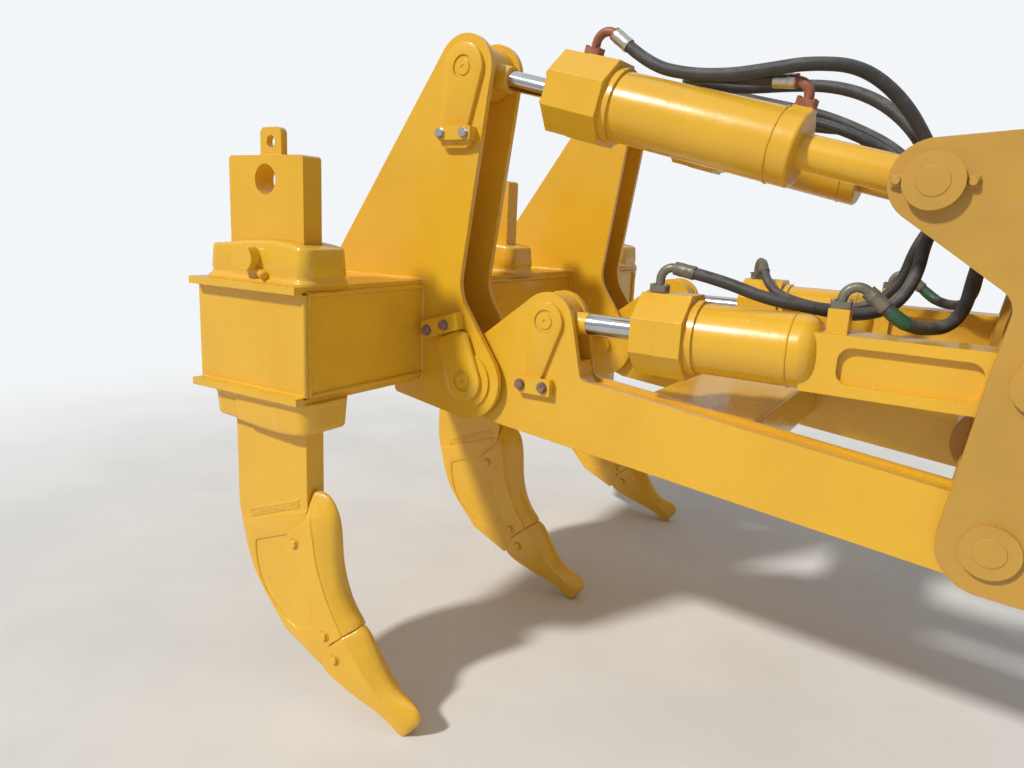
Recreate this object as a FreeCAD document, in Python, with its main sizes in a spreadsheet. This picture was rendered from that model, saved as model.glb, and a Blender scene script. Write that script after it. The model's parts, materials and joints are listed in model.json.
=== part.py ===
"""Three-shank rear ripper for a large crawler tractor, with its parallelogram linkage.

Frame: +X points forward, to the tractor, +Y to the left and +Z up. The origin is on the
mounting face, on the middle plane. Lengths are in millimetres.
"""
import FreeCAD, Part
import math
import os
import re

import Sketcher

os.makedirs("parts", exist_ok=True)
doc = FreeCAD.newDocument("Ripper")
V = FreeCAD.Vector

# The driving sizes: alias, value in millimetres or degrees, what it is.
SIZES = [
    ("plate_thick", 40, "mounting plate thickness"),
    ("plate_half_y", 810, "half width of the mounting plate"),
    ("plate_top_z", 680, "top of the mounting plate"),
    ("plate_bottom_z", -620, "bottom of the mounting plate"),
    ("bolt_hole_rad", 19.5, "mounting bolt hole radius"),
    ("bolt_edge_y", 42, "outer column of mounting bolts, from the plate's side edge"),
    ("bolt_inner_y", 420, "mounting bolts in the inner columns, from the middle plane"),
    ("bolt_edge_z", 120, "rows of mounting bolts, from the plate's top and bottom"),
    ("arm_y", 606.5, "middle plane of each arm and cylinder, from the middle plane"),
    ("fork_gap", 166, "gap between the two cheeks of each fork"),
    ("mast_thick", 22, "mast plate thickness"),
    ("cheek_thick", 30, "bracket cheek thickness"),
    ("arm_wide", 135, "lower arm width"),
    ("lug_slot", 90, "slot in the arm's lug for the rod eye"),
    ("pin_rad", 40, "radius of the link and cylinder pins"),
    ("pin_play", 0.3, "clearance of a pin in its bore, on the radius"),
    ("side_play", 3, "clearance beside an eye in its fork"),
    ("tilt_base_x", -567, "tilt cylinder base pin"),
    ("tilt_base_z", 513, "tilt cylinder base pin"),
    ("tilt_rod_x", -2095, "tilt cylinder rod pin in the masts"),
    ("tilt_rod_z", 890, "tilt cylinder rod pin in the masts"),
    ("lift_base_x", -250, "lift cylinder base pin"),
    ("lift_base_z", 10, "lift cylinder base pin"),
    ("lift_rod_x", -1730, "lift cylinder rod pin in the arm's lug"),
    ("lift_rod_z", 20, "lift cylinder rod pin in the arm's lug"),
    ("link_front_x", -300, "front pin of the lower arms"),
    ("link_front_z", -450, "front pin of the lower arms"),
    ("link_rear_x", -2050, "rear pin of the lower arms, in the masts"),
    ("link_rear_z", -235, "rear pin of the lower arms, in the masts"),
    ("cheek_tilt_rad", 112, "round of the cheek about the tilt base pin"),
    ("cheek_lift_rad", 122, "round of the cheek about the lift base pin"),
    ("cheek_link_rad", 132, "round of the cheek about the arm's front pin"),
    ("cap_rad", 75, "cap on the tilt base pin"),
    ("cap_thick", 34, "thickness of that cap"),
    ("tube_rad", 110, "bracket cross tube radius"),
    ("tube_x", -330, "bracket cross tube, from the mounting face"),
    ("tube_z", -210, "bracket cross tube height"),
    ("arm_front_rad", 118, "round of the arm about its front pin"),
    ("arm_rear_rad", 108, "round of the arm about its rear pin"),
    ("arm_side_thick", 25, "side plate of the arm"),
    ("arm_inset", 12, "side plates proud of the arm's top and bottom plates"),
    ("lug_rad", 104, "round of the arm's lug"),
    ("notch_long", 150, "foot of the lug ahead of the lug pin"),
    ("notch_deep", 196, "foot of the lug below the lug pin"),
    ("notch_round", 30, "round at the foot of the lug"),
    ("arm_belly", 153, "arm's lower edge below the rear pin"),
    ("cross_x", -1225, "middle of the cross member between the arms"),
    ("cross_long", 450, "cross member along X"),
    ("cross_deep", 170, "cross member depth"),
    ("cross_z", -335, "middle height of the cross member"),
    ("beam_mid_x", -2528.5, "middle of the ripper beam"),
    ("beam_long", 533, "ripper beam along X"),
    ("beam_end", 95.6, "end plate of the beam, past the outer shank's middle"),
    ("beam_bottom_z", -261, "underside of the beam"),
    ("beam_deep", 389, "beam depth over its flanges"),
    ("flange_thick", 25, "flange plate thickness"),
    ("flange_out", 40, "flange past the end plate"),
    ("shank_x", -2500, "shank centre line"),
    ("shank_pitch", 1224.4, "spacing of the shanks"),
    ("shank_wide", 362, "shank width along X"),
    ("shank_thick", 79, "shank thickness"),
    ("shank_top_z", 543, "top of the shank"),
    ("shank_panel", 5, "sunk panel in the shank's side, depth"),
    ("eye_plate_thick", 25, "lifting eye on the shank, thickness"),
    ("eye_plate_half", 51, "lifting eye, half width"),
    ("eye_plate_high", 92, "lifting eye above the shank"),
    ("eye_hole_rad", 20, "lifting eye's hole"),
    ("nose_wrap", 20, "wear shield and tip, thickness over the shank's side"),
    ("nose_play", 0.3, "clearance between the shank and what fits over its nose"),
    ("shank_play", 3, "clearance round a shank in its pocket"),
    ("shank_pin_z", 208, "shank pin height"),
    ("shank_pin_rad", 43, "shank pin radius"),
    ("shank_hole_rad", 50, "free pin hole in the shank"),
    ("shank_hole_z", 465, "free pin hole height"),
    ("pocket_rear", 240, "pocket casting behind the shank line"),
    ("pocket_front", 250, "pocket casting ahead of the shank line"),
    ("pocket_half_y", 100, "half width of a pocket casting"),
    ("pocket_up", 140, "upper casting above the beam"),
    ("pocket_down", 120, "lower casting below the beam"),
    ("pocket_round", 55, "corner round of a pocket casting"),
    ("foot_out", 12, "foot ledge of a pocket casting past its side"),
    ("foot_high", 14, "foot ledge of a pocket casting, height"),
    ("mast_tilt_rad", 115, "round of the mast about the tilt pin"),
    ("mast_link_rad", 150, "round of the mast about the arm's pin"),
    ("mast_heel", 20, "mast plate ahead of the beam's rear edge"),
    ("mast_tail_x", -2400, "rear end of the mast plate under the beam"),
    ("mast_tail_z", -330, "lower corner of that tail"),
    ("tilt_bore_rad", 112.5, "outside radius of the tilt barrel"),
    ("tilt_rod_rad", 34, "tilt rod radius"),
    ("tilt_neck_rad", 53, "slim tube at the tilt cylinder's base"),
    ("tilt_eye_rad", 92, "radius of the tilt cylinder's eyes"),
    ("tilt_neck_end", 380, "end of the slim tube, from the base pin"),
    ("tilt_barrel_end", 1010, "end of the tilt barrel, from the base pin"),
    ("tilt_head_end", 1218, "rod-side face of the tilt head"),
    ("tilt_head_flats", 270, "tilt head across flats"),
    ("tilt_head_port", 1140, "tilt head's oil port, from the base pin"),
    ("tilt_base_port", 412, "tilt base end's oil port, from the base pin"),
    ("tilt_base_seat", 118, "seat of that port above the axis"),
    ("lift_bore_rad", 115, "outside radius of the lift barrel"),
    ("lift_rod_rad", 37.5, "lift rod radius"),
    ("lift_yoke_end", 560, "end of the cast yoke, from the base pin"),
    ("lift_yoke_wide", 146, "yoke width"),
    ("lift_yoke_top", 70, "yoke above the axis"),
    ("lift_yoke_bottom", 110, "yoke below the axis"),
    ("yoke_recess", 25, "sunk panel in the yoke's side, depth"),
    ("yoke_frame", 34, "frame left round that panel"),
    ("lift_eye_rad", 95, "radius of the lift cylinder's eyes"),
    ("lift_barrel_end", 955, "end of the lift barrel, from the base pin"),
    ("lift_head_end", 1130, "rod-side face of the lift head"),
    ("lift_head_flats", 276, "lift head across flats"),
    ("lift_head_port", 1090, "lift head's oil port, from the base pin"),
    ("lift_base_port", 520, "lift base end's oil port, from the base pin"),
    ("lift_base_seat", 140, "seat of that port above the axis"),
    ("barrel_round", 12, "round at the base end of the tilt barrel"),
    ("dome_round", 50, "round at the base end of the lift barrel"),
    ("collar_long", 28, "collar where a barrel meets its head"),
    ("collar_proud", 9, "that collar past the barrel"),
    ("cap_long", 87, "bolted end cap of a head"),
    ("cap_less", 4, "end cap narrower than the head, over the flats"),
    ("gland_rad", 52, "gland ring round the rod"),
    ("gland_long", 10, "gland ring out of the cap"),
    ("gland_play", 0.3, "clearance of a rod in its gland, on the radius"),
    ("rod_tail", 300, "rod inside the cylinder"),
    ("rod_stroke", 230, "bore left behind the rod"),
    ("rod_collar_rad", 46, "collar where a tilt rod meets its eye"),
    ("rod_collar_long", 45, "that collar out of the eye"),
    ("port_wide", 60, "port block, along and across the cylinder"),
    ("flange_deep", 22, "port flange height"),
    ("flange_across", 44, "port flange across the cylinder"),
    ("elbow_rad", 15, "pipe of a port elbow"),
    ("elbow_bend", 40, "bend of a port elbow, to the pipe's middle"),
    ("ferrule_rad", 22, "crimped ferrule of a hose"),
    ("ferrule_long", 70, "length of that ferrule"),
    ("hose_rad", 19.5, "hose radius"),
    ("bulkhead_reach", 175, "hose fitting out of the mounting plate"),
    ("keeper_thick", 12, "pin keeper plate thickness"),
    ("mast_bar_thick", 42, "keeper bar on a mast"),
    ("lug_bar_thick", 28, "keeper bar on a lug"),
    ("doubler_rad", 110, "welded ring round the masts' lower pin"),
    ("doubler_thick", 8, "thickness of that ring"),
]

sheet = doc.addObject("Spreadsheet::Sheet", "Sizes")
for row, (alias, value, meaning) in enumerate(SIZES, 1):
    sheet.set("A%d" % row, meaning)
    sheet.set("B%d" % row, str(value))
    sheet.setAlias("B%d" % row, alias)
doc.recompute()

ALIASES = {alias for alias, value, meaning in SIZES}
SUBPARTS = []


def bound(text):
    """An expression on the sheet's aliases, as objects of the document read it."""
    return re.sub(r"[a-z]\w*", lambda word: "Sizes." + word.group() if word.group() in ALIASES else word.group(),
                  str(text))


def number(text):
    """The present value of such an expression."""
    return float(sheet.evalExpression(str(text)))


def place(thing, x="0", y="0", z="0", axis=V(0, 0, 1), angle="0"):
    """Put an object at a bound place, turned about one axis."""
    thing.Placement = FreeCAD.Placement(V(0, 0, 0), FreeCAD.Rotation(axis, number(angle)))
    if str(angle) != "0":
        thing.setExpression("Placement.Rotation.Angle", bound(angle))
    for side, text in zip("xyz", (x, y, z)):
        thing.setExpression("Placement.Base." + side, bound(text))
    return thing


def subpart(thing, label):
    """Name an object as one of the ripper's own pieces."""
    thing.Label = label
    SUBPARTS.append(thing)
    return thing


def body_named(name):
    return doc.addObject("PartDesign::Body", name)


def sketch_in(body, plane, shift="0"):
    """An empty sketch on one of the body's own planes, moved along its normal."""
    sketch = body.newObject("Sketcher::SketchObject", body.Name + "_sketch")
    support = [feature for feature in body.Origin.OriginFeatures if feature.Role == plane][0]
    sketch.AttachmentSupport = (support, [""])
    sketch.MapMode = "FlatFace"
    if str(shift) != "0":
        sketch.setExpression("AttachmentOffset.Base.z", bound(shift))
    return sketch


def pin_down(sketch, geometry, point, x, y):
    """Hold one point of the sketch at bound coordinates."""
    for kind, text in (("DistanceX", x), ("DistanceY", y)):
        index = sketch.addConstraint(Sketcher.Constraint(kind, -1, 1, geometry, point, number(text)))
        sketch.setExpression("Constraints[%d]" % index, bound(text))


def hold_radius(sketch, geometry, text):
    index = sketch.addConstraint(Sketcher.Constraint("Radius", geometry, number(text)))
    sketch.setExpression("Constraints[%d]" % index, bound(text))


def add_circle(sketch, x, y, radius):
    """A full circle, for a bore or a boss."""
    circle = sketch.addGeometry(Part.Circle(V(number(x), number(y), 0), V(0, 0, 1), number(radius)), False)
    pin_down(sketch, circle, 3, x, y)
    hold_radius(sketch, circle, radius)


def add_outline(sketch, corners):
    """A closed outline, drawn with the inside on the left.

    Each corner is (kind, x, y, radius). A "corner" is a sharp point, or is rounded where it
    has a radius. A "round" is an arc about the point itself, which both its sides touch.
    """
    count = len(corners)
    spots = [V(number(x), number(y), 0) for kind, x, y, radius in corners]
    radii = [number(radius) if radius else 0.0 for kind, x, y, radius in corners]
    about = [radii[i] if corners[i][0] == "round" else 0.0 for i in range(count)]
    starts, ends, headings = [], [], []
    for i in range(count):
        j = (i + 1) % count
        gap = spots[j] - spots[i]
        heading = math.atan2(gap.y, gap.x) - math.asin((about[j] - about[i]) / gap.Length)
        right = V(math.sin(heading), -math.cos(heading), 0)
        starts.append(spots[i] + right * about[i])
        ends.append(spots[j] + right * about[j])
        headings.append(V(math.cos(heading), math.sin(heading), 0))
    turns = []
    for i in range(count):
        before, after = headings[i - 1], headings[i]
        turns.append(math.atan2(before.x * after.y - before.y * after.x, before.dot(after)))
        if corners[i][0] == "corner" and radii[i]:
            cut = radii[i] * math.tan(abs(turns[i]) / 2)
            ends[i - 1] = spots[i] - before * cut
            starts[i] = spots[i] + after * cut
    lines = [sketch.addGeometry(Part.LineSegment(starts[i], ends[i]), False) for i in range(count)]
    for i, (kind, x, y, radius) in enumerate(corners):
        came, goes = lines[i - 1], lines[i]
        if not radii[i]:
            sketch.addConstraint(Sketcher.Constraint("Coincident", came, 2, goes, 1))
            pin_down(sketch, goes, 1, x, y)
            continue
        left = turns[i] > 0
        side = 1 if left else -1
        before = headings[i - 1]
        centre = ends[i - 1] + V(-before.y, before.x, 0) * radii[i] * side
        angles = [math.atan2(point.y - centre.y, point.x - centre.x) for point in (ends[i - 1], starts[i])]
        if not left:
            angles.reverse()
        if angles[1] < angles[0]:
            angles[1] += 2 * math.pi
        circle = Part.Circle(centre, V(0, 0, 1), radii[i])
        arc = sketch.addGeometry(Part.ArcOfCircle(circle, angles[0], angles[1]), False)
        first, last = (1, 2) if left else (2, 1)
        sketch.addConstraint(Sketcher.Constraint("Tangent", came, 2, arc, first))
        sketch.addConstraint(Sketcher.Constraint("Tangent", arc, last, goes, 1))
        hold_radius(sketch, arc, radius)
        if kind == "round":
            pin_down(sketch, arc, 3, x, y)
        else:
            peak = sketch.addGeometry(Part.Point(spots[i]), True)
            pin_down(sketch, peak, 1, x, y)
            sketch.addConstraint(Sketcher.Constraint("PointOnObject", peak, 1, came))
            sketch.addConstraint(Sketcher.Constraint("PointOnObject", peak, 1, goes))


def rectangle(x_low, x_high, y_low, y_high, radius=None):
    return [("corner", x_low, y_low, radius), ("corner", x_high, y_low, radius),
            ("corner", x_high, y_high, radius), ("corner", x_low, y_high, radius)]


def extrude(body, kind, length, plane="XZ_Plane", shift="0", outline=None, circles=(), both=True, taper=None):
    """Pad or pocket a sketch of the body; both ways from its plane unless told otherwise."""
    sketch = sketch_in(body, plane, shift)
    if outline:
        add_outline(sketch, outline)
    for x, y, radius in circles:
        add_circle(sketch, x, y, radius)
    feature = body.newObject("PartDesign::" + kind, body.Name + "_" + kind.lower())
    feature.Profile = sketch
    feature.setExpression("Length", bound(length))
    if both:
        feature.SideType = "Symmetric"
    if taper:
        feature.TaperAngle = taper
    body.Tip = feature
    return feature


def turned(body, profile):
    """Turn a stepped profile of (along, radius), or (along, radius, round), about the X axis."""
    corners = [("corner", step[0], step[1], step[2] if len(step) > 2 else None) for step in profile]
    first, last = profile[0], profile[-1]
    outline = [("corner", last[0], "0", None)] + corners[::-1] + [("corner", first[0], "0", None)]
    sketch = sketch_in(body, "XZ_Plane")
    add_outline(sketch, outline)
    feature = body.newObject("PartDesign::Revolution", body.Name + "_turned")
    feature.Profile = sketch
    feature.ReferenceAxis = (sketch, ["H_Axis"])
    feature.Angle = 360
    body.Tip = feature
    return feature


def compound(label, things):
    """Like pieces that one body carries."""
    group = doc.addObject("Part::Compound", label)
    group.Links = things
    return subpart(group, label)


def cross_pin(name, x, z, y, steps):
    """A round pin along Y, as a stepped profile from its own middle."""
    pin = body_named(name)
    turned(pin, steps)
    return place(pin, x, y, z, V(0, 0, 1), "90")


# The two sides of the ripper: name, sign of Y.
SIDES = [("left", 1), ("right", -1)]
# The shanks: name, place along Y in shank pitches.
SHANKS = [("left", 1), ("centre", 0), ("right", -1)]

# Mounting plate, bolted to the tractor's rear face.
body = body_named("plate")
bolts = [("%d * %s" % (side, column), row, "bolt_hole_rad")
         for side in (1, -1) for column in ("(plate_half_y - bolt_edge_y)", "bolt_inner_y")
         for row in ("plate_top_z - bolt_edge_z", "plate_bottom_z + bolt_edge_z")]
extrude(body, "Pad", "plate_thick", "YZ_Plane", "-plate_thick / 2",
        rectangle("-plate_half_y", "plate_half_y", "plate_bottom_z", "plate_top_z", "40"), bolts)
subpart(body, "mounting_plate")

# Bracket cheeks: four profile plates that carry the pins of the arms and cylinders.
CHEEK = [
    ("corner", "-plate_thick", "plate_bottom_z + 20", None),
    ("corner", "-plate_thick", "plate_top_z - 20", None),
    ("corner", "tilt_base_x + 420", "plate_top_z - 20", "60"),
    ("round", "tilt_base_x", "tilt_base_z", "cheek_tilt_rad"),
    ("corner", "lift_base_x - 90", "lift_base_z + 210", "70"),
    ("round", "lift_base_x", "lift_base_z", "cheek_lift_rad"),
    ("round", "link_front_x", "link_front_z", "cheek_link_rad"),
]
for side, sign in SIDES:
    for wall, out in (("outer", 1), ("inner", -1)):
        body = body_named("cheek_%s_%s" % (side, wall))
        bores = [(x, z, "pin_rad + pin_play") for x, z in (
            ("tilt_base_x", "tilt_base_z"), ("lift_base_x", "lift_base_z"), ("link_front_x", "link_front_z"))]
        extrude(body, "Pad", "cheek_thick", outline=CHEEK, circles=bores)
        place(body, y="%d * (arm_y + %d * (fork_gap + cheek_thick) / 2)" % (sign, out))
        subpart(body, "bracket_cheek_%s_%s" % (side, wall))

# Cross tube between the inner cheeks.
body = body_named("tube")
half = "(arm_y - fork_gap / 2 - cheek_thick)"
turned(body, [("-" + half, "tube_rad"), (half, "tube_rad")])
place(body, "tube_x", "0", "tube_z", V(0, 0, 1), "90")
subpart(body, "bracket_cross_tube")

# Pins of the bracket: label, x, z, cap radius, cap thickness.
BRACKET_PINS = [
    ("tilt_base_pins", "tilt_base_x", "tilt_base_z", "cap_rad", "cap_thick"),
    ("lift_base_pins", "lift_base_x", "lift_base_z", "cap_rad", "cap_thick / 2"),
    ("link_front_pins", "link_front_x", "link_front_z", "cap_rad", "cap_thick / 2"),
]
reach = "(fork_gap / 2 + cheek_thick)"
for label, x, z, cap, thick in BRACKET_PINS:
    pins = [cross_pin("%s_%s" % (label[:-1], side), x, z, "%d * arm_y" % sign,
                      [("-%s - %s" % (reach, thick), cap), ("-" + reach, cap), ("-" + reach, "pin_rad"),
                       (reach, "pin_rad"), (reach, cap), ("%s + %s" % (reach, thick), cap)])
            for side, sign in SIDES]
    compound(label, pins)

# Lower arms: side plates on a narrower core, a full boss at each end, and the forked lug for
# the lift cylinder's rod.
def arm_outline(inset):
    """The arm's side view, drawn in from its edge by the inset."""
    return [
        ("round", "link_front_x", "link_front_z", "arm_front_rad - %s" % inset),
        ("corner", "lift_rod_x + notch_long", "lift_rod_z - notch_deep - %s" % inset, "notch_round + %s" % inset),
        ("round", "lift_rod_x", "lift_rod_z", "lug_rad - %s" % inset),
        ("round", "link_rear_x", "link_rear_z", "arm_rear_rad - %s" % inset),
        ("corner", "link_rear_x + 100", "link_rear_z - arm_belly + %s" % inset, "40"),
    ]


for side, sign in SIDES:
    body = body_named("arm_" + side)
    extrude(body, "Pad", "arm_wide", outline=arm_outline("arm_inset"))
    for out in (1, -1):
        extrude(body, "Pad", "arm_side_thick", shift="%d * (arm_wide - arm_side_thick) / 2" % out,
                outline=arm_outline("0"))
    for x, z, radius in (("link_front_x", "link_front_z", "arm_front_rad"),
                         ("link_rear_x", "link_rear_z", "arm_rear_rad")):
        extrude(body, "Pad", "arm_wide", circles=[(x, z, radius)])
    bores = [(x, z, "pin_rad + pin_play") for x, z in (
        ("link_front_x", "link_front_z"), ("link_rear_x", "link_rear_z"), ("lift_rod_x", "lift_rod_z"))]
    extrude(body, "Pocket", "2 * arm_wide", circles=bores)
    extrude(body, "Pocket", "lug_slot", outline=rectangle(
        "lift_rod_x - 400", "lift_rod_x + 400", "lift_rod_z - lug_rad - 30", "lift_rod_z + 300"))
    place(body, y="%d * arm_y" % sign)
    subpart(body, "link_arm_" + side)

# Cross member, a welded box between the arms.
body = body_named("cross")
extrude(body, "Pad", "2 * arm_y - arm_wide", outline=rectangle(
    "cross_x - cross_long / 2", "cross_x + cross_long / 2", "cross_z - cross_deep / 2",
    "cross_z + cross_deep / 2", "20"))
subpart(body, "link_cross_member")


def stub_pins(label, x, z, y_in, y_out):
    """Four pin ends, each in one cheek of a fork, which leave the fork's gap free."""
    stubs = []
    for side, sign in SIDES:
        for wall, out in (("outer", 1), ("inner", -1)):
            stub = body_named("%s_%s_%s" % (label[:-1], side, wall))
            turned(stub, [(y_in, "pin_rad"), (y_out, "pin_rad")])
            turn = "90" if sign * out > 0 else "-90"
            stubs.append(place(stub, x, "%d * arm_y" % sign, z, V(0, 0, 1), turn))
    return compound(label, stubs)


stub_pins("lift_rod_pins", "lift_rod_x", "lift_rod_z", "lug_slot / 2", "arm_wide / 2 + keeper_thick - 2")

# Rear pins of the arms, through the masts and the arms' rear bosses.
reach = "(fork_gap / 2 + mast_thick + doubler_thick + keeper_thick - 2)"
compound("link_rear_pins", [
    cross_pin("link_rear_pin_" + side, "link_rear_x", "link_rear_z", "%d * arm_y" % sign,
              [("-" + reach, "pin_rad"), (reach, "pin_rad")])
    for side, sign in SIDES])

# Ripper beam: a box with flange plates, and a slot for each shank.
body = body_named("beam")
low, high = "beam_mid_x - beam_long / 2", "beam_mid_x + beam_long / 2"
extrude(body, "Pad", "beam_deep", "XY_Plane", "beam_bottom_z + beam_deep / 2",
        rectangle(low, high, "-(shank_pitch + beam_end) - flange_out", "(shank_pitch + beam_end) + flange_out"))
for sign in (1, -1):
    edges = sorted(["%d * (shank_pitch + beam_end)" % sign, "%d * ((shank_pitch + beam_end) + flange_out + 10)" % sign], key=number)
    extrude(body, "Pocket", "beam_deep - 2 * flange_thick", "XY_Plane", "beam_bottom_z + beam_deep / 2",
            rectangle(low + " - 10", high + " + 10", edges[0], edges[1]))
for name, step in SHANKS:
    extrude(body, "Pocket", "beam_deep + 20", "XY_Plane", "beam_bottom_z + beam_deep / 2", rectangle(
        "shank_x - shank_wide / 2 - shank_play", "shank_x + shank_wide / 2 + shank_play",
        "%d * shank_pitch - shank_thick / 2 - shank_play" % step,
        "%d * shank_pitch + shank_thick / 2 + shank_play" % step))
subpart(body, "ripper_beam")

# Masts: two plates each side, notched over the beam's top and front faces.
MAST = [
    ("round", "tilt_rod_x", "tilt_rod_z", "mast_tilt_rad"),
    ("corner", low + " + mast_heel", "beam_bottom_z + beam_deep", None),
    ("corner", high, "beam_bottom_z + beam_deep", None),
    ("corner", high, "beam_bottom_z", None),
    ("corner", "mast_tail_x", "beam_bottom_z", None),
    ("corner", "mast_tail_x", "mast_tail_z", "20"),
    ("round", "link_rear_x", "link_rear_z", "mast_link_rad"),
    ("corner", "link_rear_x - 45", "link_rear_z + 330", "170"),
]
for side, sign in SIDES:
    for wall, out in (("outer", 1), ("inner", -1)):
        body = body_named("mast_%s_%s" % (side, wall))
        extrude(body, "Pad", "mast_thick", outline=MAST, circles=[
            ("tilt_rod_x", "tilt_rod_z", "pin_rad + pin_play"),
            ("link_rear_x", "link_rear_z", "pin_rad + pin_play")])
        place(body, y="%d * (arm_y + %d * (fork_gap + mast_thick) / 2)" % (sign, out))
        subpart(body, "mast_%s_%s" % (side, wall))

stub_pins("tilt_rod_pins", "tilt_rod_x", "tilt_rod_z", "fork_gap / 2",
          "fork_gap / 2 + mast_thick + keeper_thick - 2")

# Pin keepers: a tailed plate round each pin's outer end, held by a bar with two bolts.
# Each outline is from the pin it keeps.
MAST_LOWER_KEEPER = [
    ("round", "0", "0", "78"),
    ("corner", "5", "195", "30"),
    ("corner", "-120", "150", "30"),
]
MAST_LOWER_BAR = [
    ("corner", "-177", "143", "6"),
    ("corner", "-12", "194", "6"),
    ("corner", "-22", "259", "6"),
    ("corner", "-190", "207", "6"),
]
MAST_UPPER_KEEPER = [
    ("round", "0", "0", "83"),
    ("corner", "-92", "-200", "12"),
    ("corner", "30", "-200", "12"),
]
MAST_UPPER_BAR = rectangle("-92", "60", "-250", "-202", "6")
LUG_KEEPER = [
    ("round", "0", "0", "70"),
    ("corner", "-72", "-205", "12"),
    ("corner", "0", "-205", "12"),
]
LUG_BAR = rectangle("-100", "43", "-268", "-207", "6")


def keeper(name, pin, sign, face, plate, bar, bar_thick, raised="0"):
    """A keeper plate with its pin hole, and the bar at its foot, on an outer face."""
    pieces = []
    for kind, outline, seat, thick in (("plate", plate, face + " + " + raised, "keeper_thick"),
                                       ("bar", bar, face, bar_thick)):
        body = body_named("%s_%s" % (name, kind))
        extrude(body, "Pad", thick, outline=outline)
        if kind == "plate":
            extrude(body, "Pocket", "2 * " + thick, circles=[("0", "0", "pin_rad + pin_play")])
        place(body, pin + "_x", "%d * (arm_y + %s + %s / 2)" % (sign, seat, thick), pin + "_z")
        pieces.append(body)
    return pieces


keepers = []
mast_face = "fork_gap / 2 + mast_thick"
for side, sign in SIDES:
    ring = body_named("doubler_" + side)
    extrude(ring, "Pad", "doubler_thick", circles=[("0", "0", "doubler_rad"), ("0", "0", "pin_rad + pin_play")])
    place(ring, "link_rear_x", "%d * (arm_y + %s + doubler_thick / 2)" % (sign, mast_face), "link_rear_z")
    keepers.append(ring)
    keepers += keeper("lower_keeper_" + side, "link_rear", sign, mast_face,
                      MAST_LOWER_KEEPER, MAST_LOWER_BAR, "mast_bar_thick", "doubler_thick")
    keepers += keeper("upper_keeper_" + side, "tilt_rod", sign, mast_face,
                      MAST_UPPER_KEEPER, MAST_UPPER_BAR, "mast_bar_thick")
compound("mast_pin_keepers", keepers)
compound("lug_pin_keepers", [
    piece for side, sign in SIDES
    for piece in keeper("lug_keeper_" + side, "lift_rod", sign, "arm_wide / 2", LUG_KEEPER, LUG_BAR, "lug_bar_thick")])

# Mast webs: the rear closing plates between each pair of mast plates.
WEB = [
    ("corner", low + " + mast_heel + 40", "beam_bottom_z + beam_deep", None),
    ("corner", low + " + mast_heel + 70", "beam_bottom_z + beam_deep", None),
    ("corner", low + " + mast_heel + 310", "beam_bottom_z + beam_deep + 340", None),
    ("corner", low + " + mast_heel + 280", "beam_bottom_z + beam_deep + 340", None),
]
webs = []
for side, sign in SIDES:
    body = body_named("web_" + side)
    extrude(body, "Pad", "fork_gap", outline=WEB)
    webs.append(place(body, y="%d * arm_y" % sign))
compound("mast_webs", webs)

# Pockets: a casting above and one below the beam round each shank.
for name, step in SHANKS:
    casts = []
    for level, depth, base in (("upper", "pocket_up", "beam_bottom_z + beam_deep"),
                               ("lower", "pocket_down", "beam_bottom_z")):
        body = body_named("pocket_%s_%s" % (name, level))
        outline = rectangle("-pocket_rear", "pocket_front", "-pocket_half_y", "pocket_half_y", "pocket_round")
        ledge = rectangle("-pocket_rear - foot_out", "pocket_front + foot_out",
                          "-pocket_half_y - foot_out", "pocket_half_y + foot_out", "pocket_round")
        for form, high, taper in ((outline, depth, -6), (ledge, "foot_high", None)):
            cast = extrude(body, "Pad", high, "XY_Plane", outline=form, both=False, taper=taper)
            cast.Reversed = level == "lower"
        extrude(body, "Pocket", "3 * " + depth, "XY_Plane", outline=rectangle(
            "-shank_wide / 2 - shank_play", "shank_wide / 2 + shank_play",
            "-shank_thick / 2 - shank_play", "shank_thick / 2 + shank_play"))
        if level == "upper":
            extrude(body, "Pocket", "4 * pocket_half_y", circles=[
                ("0", "shank_pin_z - (%s)" % base, "shank_pin_rad + pin_play")])
        casts.append(place(body, "shank_x", "%d * shank_pitch" % step, base))
    compound("pocket_" + name, casts)

compound("shank_pins", [
    cross_pin("shank_pin_" + name, "shank_x", "shank_pin_z", "%d * shank_pitch" % step,
              [("-pocket_half_y - 40", "shank_pin_rad"), ("pocket_half_y + 10", "shank_pin_rad")])
    for name, step in SHANKS])

# Shanks, with the wear shield on the nose and the tip below it.
# Each outline is from the shank's centre line, and its height is in the part's own frame.
SHANK = [
    ("corner", "shank_x - shank_wide / 2", "shank_top_z", "15"),
    ("corner", "shank_x - shank_wide / 2", "-720", "300"),
    ("corner", "shank_x - 120", "-960", "400"),
    ("corner", "shank_x + 60", "-1155", None),
    ("corner", "shank_x + 243", "-1238", None),
    ("corner", "shank_x + 330", "-1130", None),
    ("corner", "shank_x + shank_wide / 2", "-760", None),
    ("corner", "shank_x + shank_wide / 2", "shank_top_z", "15"),
]
PANEL = [
    ("corner", "shank_x - 91", "-858", "20"),
    ("corner", "shank_x - 58", "-954", "60"),
    ("corner", "shank_x + 159", "-1121", "20"),
    ("corner", "shank_x + 204", "-1071", "20"),
    ("corner", "shank_x + 108", "-829", "40"),
    ("corner", "shank_x + 64", "-782", "20"),
    ("corner", "shank_x - 84", "-839", "20"),
]
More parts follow.
